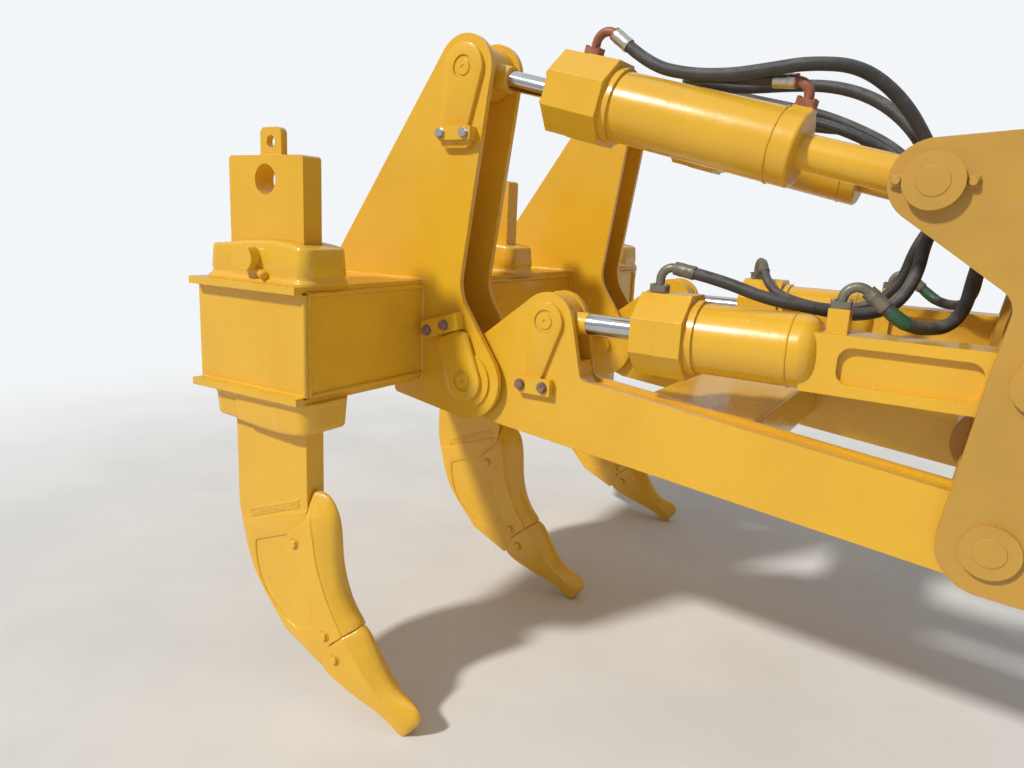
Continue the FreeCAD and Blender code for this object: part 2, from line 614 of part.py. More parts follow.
SHIELD = [
    ("corner", "shank_x + 92", "-775", "8"),
    ("corner", "shank_x + 112", "-757", "8"),
    ("corner", "shank_x + shank_wide / 2 + nose_play", "-690", None),
    ("corner", "shank_x + 186", "-600", "12"),
    ("corner", "shank_x + 222", "-585", "25"),
    ("corner", "shank_x + 252", "-680", "60"),
    ("corner", "shank_x + 275", "-900", "300"),
    ("corner", "shank_x + 397", "-1085", None),
    ("corner", "shank_x + 292", "-1142", "10"),
    ("corner", "shank_x + 228", "-1085", "40"),
    ("corner", "shank_x + 150", "-885", "150"),
]
TIP = [
    ("corner", "shank_x + 243", "-1213", None),
    ("corner", "shank_x + 292", "-1144", None),
    ("corner", "shank_x + 399", "-1087", None),
    ("corner", "shank_x + 470", "-1200", "200"),
    ("corner", "shank_x + 655", "-1325", "25"),
    ("corner", "shank_x + 605", "-1392", "25"),
    ("corner", "shank_x + 450", "-1345", "200"),
    ("corner", "shank_x + 241", "-1240", None),
]
for name, step in SHANKS:
    body = body_named("shank_solid_" + name)
    extrude(body, "Pad", "shank_thick", outline=SHANK)
    extrude(body, "Pad", "eye_plate_thick", outline=rectangle(
        "shank_x - eye_plate_half", "shank_x + eye_plate_half",
        "shank_top_z - eye_plate_high / 2", "shank_top_z + eye_plate_high", "22"))
    extrude(body, "Pocket", "2 * shank_thick", circles=[
        ("shank_x", "shank_pin_z", "shank_pin_rad + pin_play"), ("shank_x", "shank_hole_z", "shank_hole_rad"),
        ("shank_x", "shank_top_z + eye_plate_high / 2", "eye_hole_rad")])
    for out in (1, -1):
        extrude(body, "Pocket", "2 * shank_panel", shift="%d * shank_thick / 2" % out, outline=PANEL)
    place(body, y="%d * shank_pitch" % step)
    subpart(body, "shank_" + name)

    shield = body_named("wear_shield_solid_" + name)
    extrude(shield, "Pad", "shank_thick + 2 * nose_wrap", outline=SHIELD)
    extrude(shield, "Pocket", "shank_thick + 2 * nose_play", outline=SHANK)
    place(shield, y="%d * shank_pitch" % step)
    subpart(shield, "wear_shield_" + name)

    # The tip sits over the nose's end and narrows to its blunt point.
    tip = body_named("tip_solid_" + name)
    extrude(tip, "Pad", "shank_thick + 2 * nose_wrap", outline=TIP)
    extrude(tip, "Pocket", "shank_thick + 2 * nose_play", outline=SHANK)
    half = "(shank_thick / 2 + nose_wrap)"
    for out in (1, -1):
        corners = [("shank_x + 400", half), ("shank_x + 700", half + " - 32"), ("shank_x + 700", half + " + 20"),
                   ("shank_x + 400", half + " + 20")]
        extrude(tip, "Pocket", "900", "XY_Plane", "shank_top_z - 1800",
                outline=[("corner", x, "%d * (%s)" % (out, y), None) for x, y in corners])
    place(tip, y="%d * shank_pitch" % step)
    subpart(tip, "tip_" + name)


# The four cylinders. Each is drawn along its own X axis, from the base pin at 0 to the rod pin.
def cylinder_axis(kind):
    """Length between pins, and the turn about Y that points the axis at the rod pin."""
    across = "(%s_base_x - %s_rod_x)" % (kind, kind)
    rise = "(%s_rod_z - %s_base_z)" % (kind, kind)
    return "sqrt(%s^2 + %s^2)" % (across, rise), "180 + atan(%s / %s) / 1deg" % (rise, across)


def octagon(body, start, end, flats):
    """An eight-sided cylinder head between two places along the axis."""
    side = "((%s) / 2)" % flats
    cut = "(%s * (1 - tan(22.5)) / 1)" % side
    spots = []
    for x, y in ((1, 1), (-1, 1), (-1, -1), (1, -1)):
        near, far = ("%d * (%s - %s)" % (x, side, cut), "%d * %s" % (y, side)), \
                    ("%d * %s" % (x, side), "%d * (%s - %s)" % (y, side, cut))
        spots += [far, near] if x * y > 0 else [near, far]
    extrude(body, "Pad", "(%s) - (%s)" % (end, start), "YZ_Plane", "((%s) + (%s)) / 2" % (start, end),
            [("corner", y, z, None) for y, z in spots])


def port_block(body, along, seat):
    """A square block between the axis and a port's seat, which faces up."""
    extrude(body, "Pad", "port_wide", outline=rectangle(
        "%s - port_wide / 2" % along, "%s + port_wide / 2" % along, "-" + seat, "0"))


for side, sign in SIDES:
    for kind in ("tilt", "lift"):
        length, angle = cylinder_axis(kind)
        barrel = body_named("%s_barrel_%s" % (kind, side))
        end = kind + "_barrel_end"
        collar = [("%s - collar_long" % end, "%s_bore_rad" % kind),
                  ("%s - collar_long" % end, "%s_bore_rad + collar_proud" % kind),
                  (end, "%s_bore_rad + collar_proud" % kind)]
        if kind == "tilt":
            turned(barrel, [("0", "tilt_neck_rad"), ("tilt_neck_end", "tilt_neck_rad"),
                            ("tilt_neck_end", "tilt_bore_rad", "barrel_round")] + collar)
            eye_wide = "(fork_gap - 2 * side_play)"
        else:
            turned(barrel, [("lift_yoke_end", "lift_bore_rad", "dome_round")] + collar)
            yoke = ("0", "lift_yoke_end + 40", "-lift_yoke_top", "lift_yoke_bottom")
            extrude(barrel, "Pad", "lift_yoke_wide", outline=rectangle(*yoke))
            panel = rectangle("lift_eye_rad + yoke_frame", "lift_yoke_end - port_wide",
                              "yoke_frame - lift_yoke_top", "lift_yoke_bottom - yoke_frame", "40")
            for out in (1, -1):
                extrude(barrel, "Pocket", "2 * yoke_recess", shift="%d * lift_yoke_wide / 2" % out, outline=panel)
            eye_wide = "lift_yoke_wide"
        head, flats = kind + "_head_end", kind + "_head_flats"
        octagon(barrel, end, head + " - cap_long", flats)
        octagon(barrel, head + " - cap_long", head, flats + " - cap_less")
        extrude(barrel, "Pad", "gland_long", "YZ_Plane", head, circles=[("0", "0", "gland_rad")], both=False)
        port_block(barrel, kind + "_base_port", kind + "_base_seat")
        extrude(barrel, "Pad", eye_wide, circles=[("0", "0", kind + "_eye_rad")])
        extrude(barrel, "Pocket", "2 * fork_gap", circles=[("0", "0", "pin_rad + pin_play")])
        extrude(barrel, "Pocket", "rod_tail + rod_stroke + gland_long", "YZ_Plane", head + " + gland_long",
                circles=[("0", "0", "%s_rod_rad + gland_play" % kind)], both=False)
        place(barrel, kind + "_base_x", "%d * arm_y" % sign, kind + "_base_z", V(0, 1, 0), angle)
        subpart(barrel, "%s_barrel_%s" % (kind, side))

        rod = body_named("%s_rod_%s" % (kind, side))
        foot = "%s - %s_eye_rad - rod_collar_long" % (length, kind)
        collar_rad = "rod_collar_rad" if kind == "tilt" else "lug_slot / 2 - 2 * side_play"
        turned(rod, [(head + " - rod_tail", kind + "_rod_rad"), (foot, kind + "_rod_rad"),
                     (foot, collar_rad), ("%s - %s_eye_rad / 2" % (length, kind), collar_rad)])
        rod_eye = "(lug_slot - 2 * side_play)" if kind == "lift" else "(fork_gap - 2 * side_play)"
        extrude(rod, "Pad", rod_eye, circles=[(length, "0", kind + "_eye_rad")])
        place(rod, kind + "_base_x", "%d * arm_y" % sign, kind + "_base_z", V(0, 1, 0), angle)
        subpart(rod, "%s_rod_%s" % (kind, side))


# Port elbows: a bolted flange, a bent pipe and the hose's crimped ferrule.
def elbow(name, straight, bend):
    """It rises along Z from its seat, bends towards X and ends at the ferrule's face."""
    body = body_named(name)
    extrude(body, "Pad", "flange_deep", "XY_Plane", outline=rectangle(
        "-port_wide / 2", "port_wide / 2", "-flange_across / 2", "flange_across / 2", "10"), both=False)
    extrude(body, "Pad", "flange_deep + %s" % straight, "XY_Plane", circles=[("0", "0", "elbow_rad")], both=False)
    top = "flange_deep + %s" % straight
    sketch = sketch_in(body, "XY_Plane", top)
    sketch.setExpression("AttachmentOffset.Base.x", bound("elbow_bend"))
    add_circle(sketch, "-elbow_bend", "0", "elbow_rad")
    curve = body.newObject("PartDesign::Revolution", name + "_bend")
    curve.Profile = sketch
    curve.ReferenceAxis = (sketch, ["V_Axis"])
    curve.Angle = bend
    body.Tip = curve
    ferrule = extrude(body, "Pad", "ferrule_long", "XY_Plane", circles=[("0", "0", "ferrule_rad")], both=False)
    seat = ferrule.Profile[0]
    seat.AttachmentOffset = FreeCAD.Placement(V(0, 0, 0), FreeCAD.Rotation(V(0, 1, 0), bend))
    seat.setExpression("AttachmentOffset.Base.x", bound("elbow_bend * (1 - cos(%g))" % bend))
    seat.setExpression("AttachmentOffset.Base.z", bound("%s + elbow_bend * sin(%g)" % (top, bend)))
    return body


# Each port: cylinder, end, side, seat above the axis, straight pipe, bend, and the way the
# outlet heads in degrees: 0 to the rod, 180 to the base pin, less a turn towards the middle.
PORTS = [
    ("tilt", "head", "left", "tilt_head_flats / 2", 20, 90, 180),
    ("tilt", "head", "right", "tilt_head_flats / 2", 20, 114, 180),
    ("tilt", "base", "left", "tilt_base_seat", 4, 98, 0),
    ("tilt", "base", "right", "tilt_base_seat", 4, 98, 0),
    ("lift", "head", "left", "lift_head_flats / 2", 20, 125, 120),
    ("lift", "head", "right", "lift_head_flats / 2", 20, 100, 180),
    ("lift", "base", "left", "lift_base_seat", 4, 130, 176),
    ("lift", "base", "right", "lift_base_seat", 4, 130, 176),
]
for side, sign in SIDES:
    for cylinder in ("tilt", "lift"):
        fittings = []
        for kind, end, where, seat, straight, bend, heading in PORTS:
            if (kind, where) != (cylinder, side):
                continue
            piece = elbow("%s_%s_elbow_%s" % (kind, end, side), straight, bend)
            half = math.radians(360 - heading if sign > 0 and heading else heading) / 2
            place(piece, "%s_%s_port" % (kind, end), "0", "-(%s)" % seat, V(math.cos(half), math.sin(half), 0), "180")
            fittings.append(piece)
        length, angle = cylinder_axis(cylinder)
        ports = compound("%s_ports_%s" % (cylinder, side), fittings)
        place(ports, cylinder + "_base_x", "%d * arm_y" % sign, cylinder + "_base_z", V(0, 1, 0), angle)

# Bulkhead fittings on the mounting plate, where the hoses go on into the tractor.
BULKHEADS = [("tilt_head", 410, 405), ("tilt_base", 366, 340), ("lift_head", 315, 570), ("lift_base", 262, 500)]
fittings = []
for side, sign in SIDES:
    for name, y, z in BULKHEADS:
        fitting = body_named("bulkhead_%s_%s" % (name, side))
        turned(fitting, [("0", "ferrule_rad + 11"), ("45", "ferrule_rad + 11"), ("45", "ferrule_rad - 2"),
                         ("bulkhead_reach - ferrule_long", "ferrule_rad - 2"),
                         ("bulkhead_reach - ferrule_long", "ferrule_rad"), ("bulkhead_reach", "ferrule_rad")])
        fittings.append(place(fitting, "-plate_thick", str(sign * y), str(z), V(0, 0, 1), "180"))
compound("hose_bulkheads", fittings)

# Hoses, from the ports to the bulkheads: points along each route, with Y to the hose's own side.
ROUTES = {
    "tilt_hose_head_left": [
        (-1514.9, 606.5, 970.4), (-1425.7, 606.5, 948.4), (-1280, 582, 912), (-1120, 540, 868), (-960, 495, 800),
        (-815, 458, 722), (-705, 440, 620), (-620, 432, 510), (-500, 424, 440), (-350, 410, 405), (-215, 410, 405)],
    "tilt_hose_head_right": [
        (-1512.7, 606.5, 936.9), (-1429.8, 606.5, 872.5), (-1300, 628, 836), (-1165, 646, 822), (-1045, 650, 830),
        (-935, 632, 845), (-805, 560, 841), (-695, 490, 757), (-617, 442, 636), (-556, 420, 515),
        (-460, 412, 440), (-340, 410, 405), (-215, 410, 405)],
    "tilt_hose_base_left": [
        (-1037, 606.5, 808), (-1116.5, 606.5, 816.2), (-1235, 600, 832), (-1338, 533, 836), (-1378, 408, 830),
        (-1340, 284, 824), (-1230, 222, 816), (-1085, 226, 800), (-945, 256, 752), (-815, 300, 688),
        (-715, 340, 600), (-625, 376, 500), (-520, 374, 410), (-370, 366, 340), (-215, 366, 340)],
    "tilt_hose_base_right": [
        (-1037, 606.5, 808), (-1116.5, 606.5, 816.2), (-1235, 592, 832), (-1335, 525, 842), (-1375, 405, 850),
        (-1340, 284, 854), (-1230, 216, 856), (-1080, 216, 858), (-930, 260, 842), (-790, 315, 788),
        (-680, 350, 700), (-610, 366, 595), (-550, 368, 485), (-460, 368, 395), (-340, 366, 340), (-215, 366, 340)],
    "lift_hose_head_left": [
        (-1278.6, 502.3, 189.5), (-1239.3, 433.5, 133.7), (-1145, 375, 92), (-1005, 362, 66), (-875, 366, 72),
        (-770, 362, 118), (-705, 350, 210), (-680, 334, 325), (-625, 318, 435), (-525, 312, 515),
        (-375, 315, 570), (-215, 315, 570)],
    "lift_hose_head_right": [
        (-1222.6, 606.5, 223.8), (-1130.2, 606.5, 206.9), (-990, 587, 160), (-860, 540, 142), (-745, 482, 122),
        (-645, 432, 155), (-600, 390, 250), (-595, 344, 365), (-555, 318, 470), (-460, 313, 540),
        (-340, 315, 570), (-215, 315, 570)],
    "lift_hose_base_left": [
        (-649.8, 598.2, 164.3), (-604.3, 595, 125.5), (-553, 548, 110), (-494, 478, 114), (-458, 395, 165),
        (-452, 328, 258), (-436, 284, 358), (-392, 266, 448), (-304, 262, 500), (-215, 262, 500)],
    "lift_hose_base_right": [
        (-649.8, 598.2, 164.3), (-604.3, 595, 125.5), (-553, 548, 110), (-494, 478, 114), (-458, 395, 165),
        (-452, 328, 258), (-436, 284, 358), (-392, 266, 448), (-304, 262, 500), (-215, 262, 500)],
}


def hose_path(points):
    """Straight runs joined by tangent arcs, each as large as its two runs allow."""
    edges, radii, start = [], [], points[0]
    for before, corner, after in zip(points, points[1:], points[2:]):
        come, go = corner - before, after - corner
        half_turn = come.getAngle(go) / 2
        cut = 0.45 * min(come.Length, go.Length)
        radii.append(cut / math.tan(half_turn))
        come.normalize()
        go.normalize()
        first, last = corner - come * cut, corner + go * cut
        middle = (go - come).normalize()
        sagitta = radii[-1] * (1 / math.cos(half_turn) - 1)
        edges += [Part.LineSegment(start, first).toShape(),
                  Part.Arc(first, corner + middle * sagitta, last).toShape()]
        start = last
    edges.append(Part.LineSegment(start, points[-1]).toShape())
    return Part.Wire(edges), radii


for label, route in ROUTES.items():
    sign = 1 if label.endswith("_left") else -1
    path, radii = hose_path([V(x, sign * y, z) for x, y, z in route])
    radius = number("hose_rad")
    start = path.Edges[0]
    ring = Part.Wire([Part.Circle(start.valueAt(0), start.tangentAt(0), radius).toShape()])
    hose = doc.addObject("Part::Feature", label)
    hose.Shape = path.makePipeShell([ring], True, False)
    subpart(hose, label)
    ideal = math.pi * radius ** 2 * path.Length
    print(label, "length", round(path.Length), "radii", [round(each) for each in radii],
          "volume share", round(hose.Shape.Volume / ideal, 4))

doc.recompute()
broken = [thing.Name for thing in doc.Objects if {"Invalid", "Error"} & set(thing.State)]
for thing in SUBPARTS:
    if thing.Shape.isNull() or not thing.Shape.isValid():
        broken.append(thing.Label)
if broken:
    raise RuntimeError("these did not build: " + ", ".join(broken))
for thing in SUBPARTS:
    thing.Shape.exportStep("parts/%s.step" % thing.Label)
    print(thing.Label, len(thing.Shape.Solids), round(thing.Shape.Volume / 1e9, 5))
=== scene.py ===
"""Rear ripper with its linkage, cylinders and hoses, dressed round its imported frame.

Lengths are in metres. +X points forward, out of the mounting face, +Y to the left and +Z up.
The camera looks from the right.
"""
import json
import math

import bmesh
import bpy
import numpy as np
from mathutils import Matrix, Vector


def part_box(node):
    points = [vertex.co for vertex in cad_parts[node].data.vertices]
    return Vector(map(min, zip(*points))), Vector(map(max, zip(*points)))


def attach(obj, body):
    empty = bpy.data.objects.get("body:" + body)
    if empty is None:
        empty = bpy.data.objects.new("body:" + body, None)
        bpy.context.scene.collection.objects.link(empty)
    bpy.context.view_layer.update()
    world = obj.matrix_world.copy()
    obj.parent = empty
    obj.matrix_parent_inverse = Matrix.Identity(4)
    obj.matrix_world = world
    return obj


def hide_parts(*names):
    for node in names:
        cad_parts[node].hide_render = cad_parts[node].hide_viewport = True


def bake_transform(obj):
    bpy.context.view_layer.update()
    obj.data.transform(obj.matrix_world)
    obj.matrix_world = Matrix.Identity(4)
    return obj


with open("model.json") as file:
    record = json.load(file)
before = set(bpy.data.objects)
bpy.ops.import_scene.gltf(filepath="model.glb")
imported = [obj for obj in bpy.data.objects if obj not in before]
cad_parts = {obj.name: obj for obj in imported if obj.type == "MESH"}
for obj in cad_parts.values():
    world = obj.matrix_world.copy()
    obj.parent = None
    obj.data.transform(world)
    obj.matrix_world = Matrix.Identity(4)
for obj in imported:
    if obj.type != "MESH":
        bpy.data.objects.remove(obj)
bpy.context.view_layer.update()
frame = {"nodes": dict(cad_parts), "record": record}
nodes = frame["nodes"]

# The view of the photograph, from the right rear at a walker's eye height: where the camera
# stands, how far it turns to the left of +Y, how far it looks down, and its lean. The focal
# length is in the photograph's pixels and the sensor's width in millimetres.
EYE = (-0.393, -3.045, 0.361)
YAW, PITCH, LEAN = math.radians(31.784), math.radians(11.948), math.radians(2.568)
FOCAL_PIXELS, FRAME_PIXELS, SENSOR = 763.74, 1024, 36

ahead = np.array([-math.sin(YAW) * math.cos(PITCH), math.cos(YAW) * math.cos(PITCH), -math.sin(PITCH)])
level = np.array([math.cos(YAW), math.sin(YAW), 0.0])
above = np.cross(level, ahead)
right = level * math.cos(LEAN) + above * math.sin(LEAN)
upward = above * math.cos(LEAN) - level * math.sin(LEAN)
lens = bpy.data.cameras.new("view")
lens.sensor_width = SENSOR
lens.lens = FOCAL_PIXELS / FRAME_PIXELS * SENSOR
camera = bpy.data.objects.new("view", lens)
camera.matrix_world = Matrix([[right[i], upward[i], -ahead[i], EYE[i]] for i in range(3)] + [[0, 0, 0, 1]])
bpy.context.collection.objects.link(camera)
bpy.context.scene.camera = camera
bpy.context.scene.view_settings.view_transform = "Standard"


# Hydraulic hoses: steel-braided rubber in a wrapped cover, which leaves fine ribs round them.
# Each hangs from a cylinder's port to a bulkhead fitting on the mounting plate, free between
# its two crimped ferrules. The points are those of the solid, with Y to the hose's own side.
HOSE_DIAMETER = 0.039
HOSE_SIDES = 24
RIB_STEP = 0.0042
SLEEVE_FROM, SLEEVE_TO, SLEEVE_PROUD = 0.012, 0.075, 0.0015
SIDE_SIGN = {"left": 1, "right": -1}
HOSES = {  # node: real length, route
    "tilt_hose_head_left": (1.478, [
        (-1.5149, 0.6065, 0.9704), (-1.4257, 0.6065, 0.9484), (-1.28, 0.582, 0.912), (-1.12, 0.54, 0.868),
        (-0.96, 0.495, 0.8), (-0.815, 0.458, 0.722), (-0.705, 0.44, 0.62), (-0.62, 0.432, 0.51),
        (-0.5, 0.424, 0.44), (-0.35, 0.41, 0.405), (-0.215, 0.41, 0.405)]),
    "tilt_hose_head_right": (1.563, [
        (-1.5127, 0.6065, 0.9369), (-1.4298, 0.6065, 0.8725), (-1.3, 0.628, 0.836), (-1.165, 0.646, 0.822),
        (-1.045, 0.65, 0.83), (-0.935, 0.632, 0.845), (-0.805, 0.56, 0.841), (-0.695, 0.49, 0.757),
        (-0.617, 0.442, 0.636), (-0.556, 0.42, 0.515), (-0.46, 0.412, 0.44), (-0.34, 0.41, 0.405),
        (-0.215, 0.41, 0.405)]),
    "tilt_hose_base_left": (1.871, [
        (-1.037, 0.6065, 0.808), (-1.1165, 0.6065, 0.8162), (-1.235, 0.6, 0.832), (-1.338, 0.533, 0.836),
        (-1.378, 0.408, 0.83), (-1.34, 0.284, 0.824), (-1.23, 0.222, 0.816), (-1.085, 0.226, 0.8),
        (-0.945, 0.256, 0.752), (-0.815, 0.3, 0.688), (-0.715, 0.34, 0.6), (-0.625, 0.376, 0.5),
        (-0.52, 0.374, 0.41), (-0.37, 0.366, 0.34), (-0.215, 0.366, 0.34)]),
    "tilt_hose_base_right": (1.927, [
        (-1.037, 0.6065, 0.808), (-1.1165, 0.6065, 0.8162), (-1.235, 0.592, 0.832), (-1.335, 0.525, 0.842),
        (-1.375, 0.405, 0.85), (-1.34, 0.284, 0.854), (-1.23, 0.216, 0.856), (-1.08, 0.216, 0.858),
        (-0.93, 0.26, 0.842), (-0.79, 0.315, 0.788), (-0.68, 0.35, 0.7), (-0.61, 0.366, 0.595),
        (-0.55, 0.368, 0.485), (-0.46, 0.368, 0.395), (-0.34, 0.366, 0.34), (-0.215, 0.366, 0.34)]),
    "lift_hose_head_left": (1.393, [
        (-1.2786, 0.5023, 0.1895), (-1.2393, 0.4335, 0.1337), (-1.145, 0.375, 0.092), (-1.005, 0.362, 0.066),
        (-0.875, 0.366, 0.072), (-0.77, 0.362, 0.118), (-0.705, 0.35, 0.21), (-0.68, 0.334, 0.325),
        (-0.625, 0.318, 0.435), (-0.525, 0.312, 0.515), (-0.375, 0.315, 0.57), (-0.215, 0.315, 0.57)]),
    "lift_hose_head_right": (1.334, [
        (-1.2226, 0.6065, 0.2238), (-1.1302, 0.6065, 0.2069), (-0.99, 0.587, 0.16), (-0.86, 0.54, 0.142),
        (-0.745, 0.482, 0.122), (-0.645, 0.432, 0.155), (-0.6, 0.39, 0.25), (-0.595, 0.344, 0.365),
        (-0.555, 0.318, 0.47), (-0.46, 0.313, 0.54), (-0.34, 0.315, 0.57), (-0.215, 0.315, 0.57)]),
    "lift_hose_base_left": (0.832, [
        (-0.6498, 0.5982, 0.1643), (-0.6043, 0.595, 0.1255), (-0.553, 0.548, 0.11), (-0.494, 0.478, 0.114),
        (-0.458, 0.395, 0.165), (-0.452, 0.328, 0.258), (-0.436, 0.284, 0.358), (-0.392, 0.266, 0.448),
        (-0.304, 0.262, 0.5), (-0.215, 0.262, 0.5)]),
}
HOSES["lift_hose_base_right"] = HOSES["lift_hose_base_left"]


class Flow:
    """One socket of a material, or with no socket the material's node tree."""

    def __init__(self, tree, socket=None):
        self.tree, self.socket = tree, socket

    def node(self, kind, settings=(), values=(), out=0):
        """Adds a node: its settings, which come first, its inputs, and which output goes on."""
        added = self.tree.nodes.new("ShaderNode" + kind)
        for name, value in dict(settings).items():
            setattr(added, name, value)
        for name, value in dict(values).items():
            if isinstance(value, Flow):
                self.tree.links.new(value.socket, added.inputs[name])
            else:
                added.inputs[name].default_value = value
        return Flow(self.tree, added.outputs[out])

    def maths(self, operation, *values):
        """A Math node on values or links."""
        return self.node("Math", {"operation": operation}, dict(enumerate(values)))

    def __add__(self, other):
        return self.maths("ADD", self, other)

    def __sub__(self, other):
        return self.maths("SUBTRACT", self, other)

    def __rsub__(self, other):
        return self.maths("SUBTRACT", other, self)

    def __mul__(self, other):
        return self.maths("MULTIPLY", self, other)

    __radd__ = __add__
    __rmul__ = __mul__

    def between(self, low, high):
        """0 at low, 1 at high and smooth between them."""
        return self.node("MapRange", {"interpolation_type": "SMOOTHSTEP"},
                         {"Value": self, "From Min": low, "From Max": high})

    def blend(self, first, second, kind="RGBA"):
        """The first colour or vector where this value is 0, the second where it is 1.

        A Mix node's sockets share their names, so they go by number.
        """
        low, high, out = {"RGBA": (6, 7, 2), "VECTOR": (4, 5, 1)}[kind]
        ends = [end if isinstance(end, Flow) else (*end, 1) for end in (first, second)]
        return self.node("Mix", {"data_type": kind}, {0: self, low: ends[0], high: ends[1]}, out)

    def noise(self, scale, stretch=(1, 1, 1), detail=4, rough=0.55):
        """Cloudy noise on the piece's own coordinates in metres, stretched along an axis."""
        spot = self.node("Mapping", {}, {"Vector": self.node("TexCoord", out="Object"), "Scale": stretch})
        return self.node("TexNoise", {}, {"Vector": spot, "Scale": scale,
                                          "Detail": detail, "Roughness": rough})

    def facing_up(self):
        """The Z of the surface's normal: 1 on a flat top, 0 on an upright face."""
        return self.node("SeparateXYZ", {}, {"Vector": self.node("NewGeometry", out="Normal")}, out="Z")

    def bump(self, relief, **more):
        """A normal from a relief in metres."""
        return self.node("Bump", {}, {"Strength": 1.0, "Distance": 1.0, "Height": relief, **more})


def finish(name, build):
    """A material whose Principled shader gets what `build` returns for its sockets."""
    coat = bpy.data.materials.new(name)
    coat.use_nodes = True
    shader = coat.node_tree.nodes["Principled BSDF"]
    for socket, value in build(Flow(coat.node_tree)).items():
        if isinstance(value, Flow):
            coat.node_tree.links.new(value.socket, shader.inputs[socket])
        else:
            shader.inputs[socket].default_value = value
    return coat


def dress(coat, *pieces):
    """Gives each piece the coat as its only material."""
    for piece in pieces:
        piece.data.materials.clear()
        piece.data.materials.append(coat)


def skin(rings, closed=False):
    """A grid's corners and faces: ring joins ring point by point, and each closes on itself.

    The end rings are filled, or in a closed skin the last ring joins the first.
    """
    count, size = rings.shape[:2]
    index = np.arange(count * size).reshape(count, size)
    if closed:
        index = np.vstack([index, index[:1]])
    beside = np.roll(index, -1, axis=1)
    faces = np.stack([index[:-1], beside[:-1], beside[1:], index[1:]], axis=-1).reshape(-1, 4).tolist()
    if not closed:
        faces += [index[0][::-1].tolist(), index[-1].tolist()]
    return rings.reshape(-1, 3), faces


def piece_of(name, body, coat, skins, sharp=35):
    """One piece of closed skins on a body, smooth but for edges of more than `sharp` degrees."""
    corners, faces, count = [], [], 0
    for points, polygons in skins:
        corners.append(points)
        faces += [[count + corner for corner in polygon] for polygon in polygons]
        count += len(points)
    mesh = bpy.data.meshes.new(name)
    mesh.from_pydata(np.concatenate(corners).tolist(), [], faces)
    shell = bmesh.new()
    shell.from_mesh(mesh)
    bmesh.ops.recalc_face_normals(shell, faces=shell.faces)
    shell.to_mesh(mesh)
    shell.free()
    mesh.shade_smooth()
    mesh.set_sharp_from_angle(angle=math.radians(sharp))
    piece = bpy.data.objects.new(name, mesh)
    bpy.context.collection.objects.link(piece)
    dress(coat, piece)
    if body:
        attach(piece, body)
    return piece


def route_of(hose):
    """A hose's route as an array, on its own side."""
    return np.array(HOSES[hose][1]) * (1, SIDE_SIGN[hose.rsplit("_", 1)[1]], 1)


def smooth_line(points):
    """Points along the NURBS spline of order 3 whose control points are the route's."""
    curve = bpy.data.curves.new("route", "CURVE")
    curve.dimensions = "3D"
    curve.resolution_u = 10
    spline = curve.splines.new("NURBS")
    spline.points.add(len(points) - 1)
    for control, point in zip(spline.points, points):
        control.co = (*point, 1)
    spline.order_u = 3
    spline.use_endpoint_u = True
    line = bpy.data.objects.new("route", curve)
    mesh = bpy.data.meshes.new_from_object(line)
    path = np.empty(len(mesh.vertices) * 3)
    mesh.vertices.foreach_get("co", path)
    bpy.data.objects.remove(line)
    return path.reshape(-1, 3)


def along(path):
    """The distance of each point of a path from its start."""
    return np.concatenate([[0], np.cumsum(np.linalg.norm(np.diff(path, axis=0), axis=1))])


def tube(path, radius, sides):
    """Rings square to a path: each ring's side is the last one's, less its part along the path."""
    way = np.gradient(path, along(path), axis=0)
    way /= np.linalg.norm(way, axis=1)[:, None]
    off_the_path = (0.3, 0.2, 1.0)
    sideways = [np.cross(way[0], off_the_path)]
    for step in way[1:]:
        sideways.append(sideways[-1] - step * np.dot(sideways[-1], step))
    side = np.array(sideways) / np.linalg.norm(sideways, axis=1)[:, None]
    other = np.cross(way, side)
    turn = np.linspace(0, 2 * math.pi, sides, endpoint=False)
    spokes = np.cos(turn)[:, None] * side[:, None] + np.sin(turn)[:, None] * other[:, None]
    return path[:, None] + spokes * np.broadcast_to(radius, len(path))[:, None, None]


def square_to(way):
    """Three unit vectors at right angles, the last along `way`."""
    way = np.array(way, float) / np.linalg.norm(way)
    side = np.cross(way, (0, 0, 1) if abs(way[2]) < 0.9 else (1, 0, 0))
    side /= np.linalg.norm(side)
    return side, np.cross(way, side), way


def turned(profile, centre, way, steps):
    """A lathe's work: each (distance along, radius) of the profile is a circle about the axis."""
    side, other, axis = square_to(way)
    turn = np.linspace(0, 2 * math.pi, steps, endpoint=False)
    spoke = np.cos(turn)[:, None] * side + np.sin(turn)[:, None] * other
    distance, radius = np.array(profile).T
    return skin(np.array(centre) + distance[:, None, None] * axis + radius[:, None, None] * spoke)


def rubber(flow):
    """Black cover greyed by dust, ribs, a green sleeve; painted light makes the top lighter."""
    black, grey, green = (0.030, 0.029, 0.030), (0.200, 0.196, 0.190), (0.022, 0.098, 0.055)
    run = flow.node("Attribute", {"attribute_name": "run"}, out="Fac")
    sleeve = flow.node("Attribute", {"attribute_name": "sleeve"}, out="Fac")
    ribs = flow.maths("SINE", run * (2 * math.pi / RIB_STEP)) * 0.5 + 0.5
    # Painted light: the cover's grey, dust and all, is lighter towards the top and darker below.
    upper = flow.facing_up().between(-0.3, 0.8)
    dust = flow.noise(22.0, detail=6, rough=0.7).between(0.42, 0.72)
    worn = flow.noise(7.0).between(0.35, 0.7)
    cover = ((dust * 0.45 + worn * 0.25 + 0.10) * (upper * 0.75 + 0.25)).blend(black, grey)
    relief = ribs * (1.0 - sleeve) * 0.0005 + dust * 0.0003
    return {"Base Color": sleeve.blend(cover, green), "Roughness": dust * 0.2 + 0.46,
            "Normal": flow.bump(relief)}


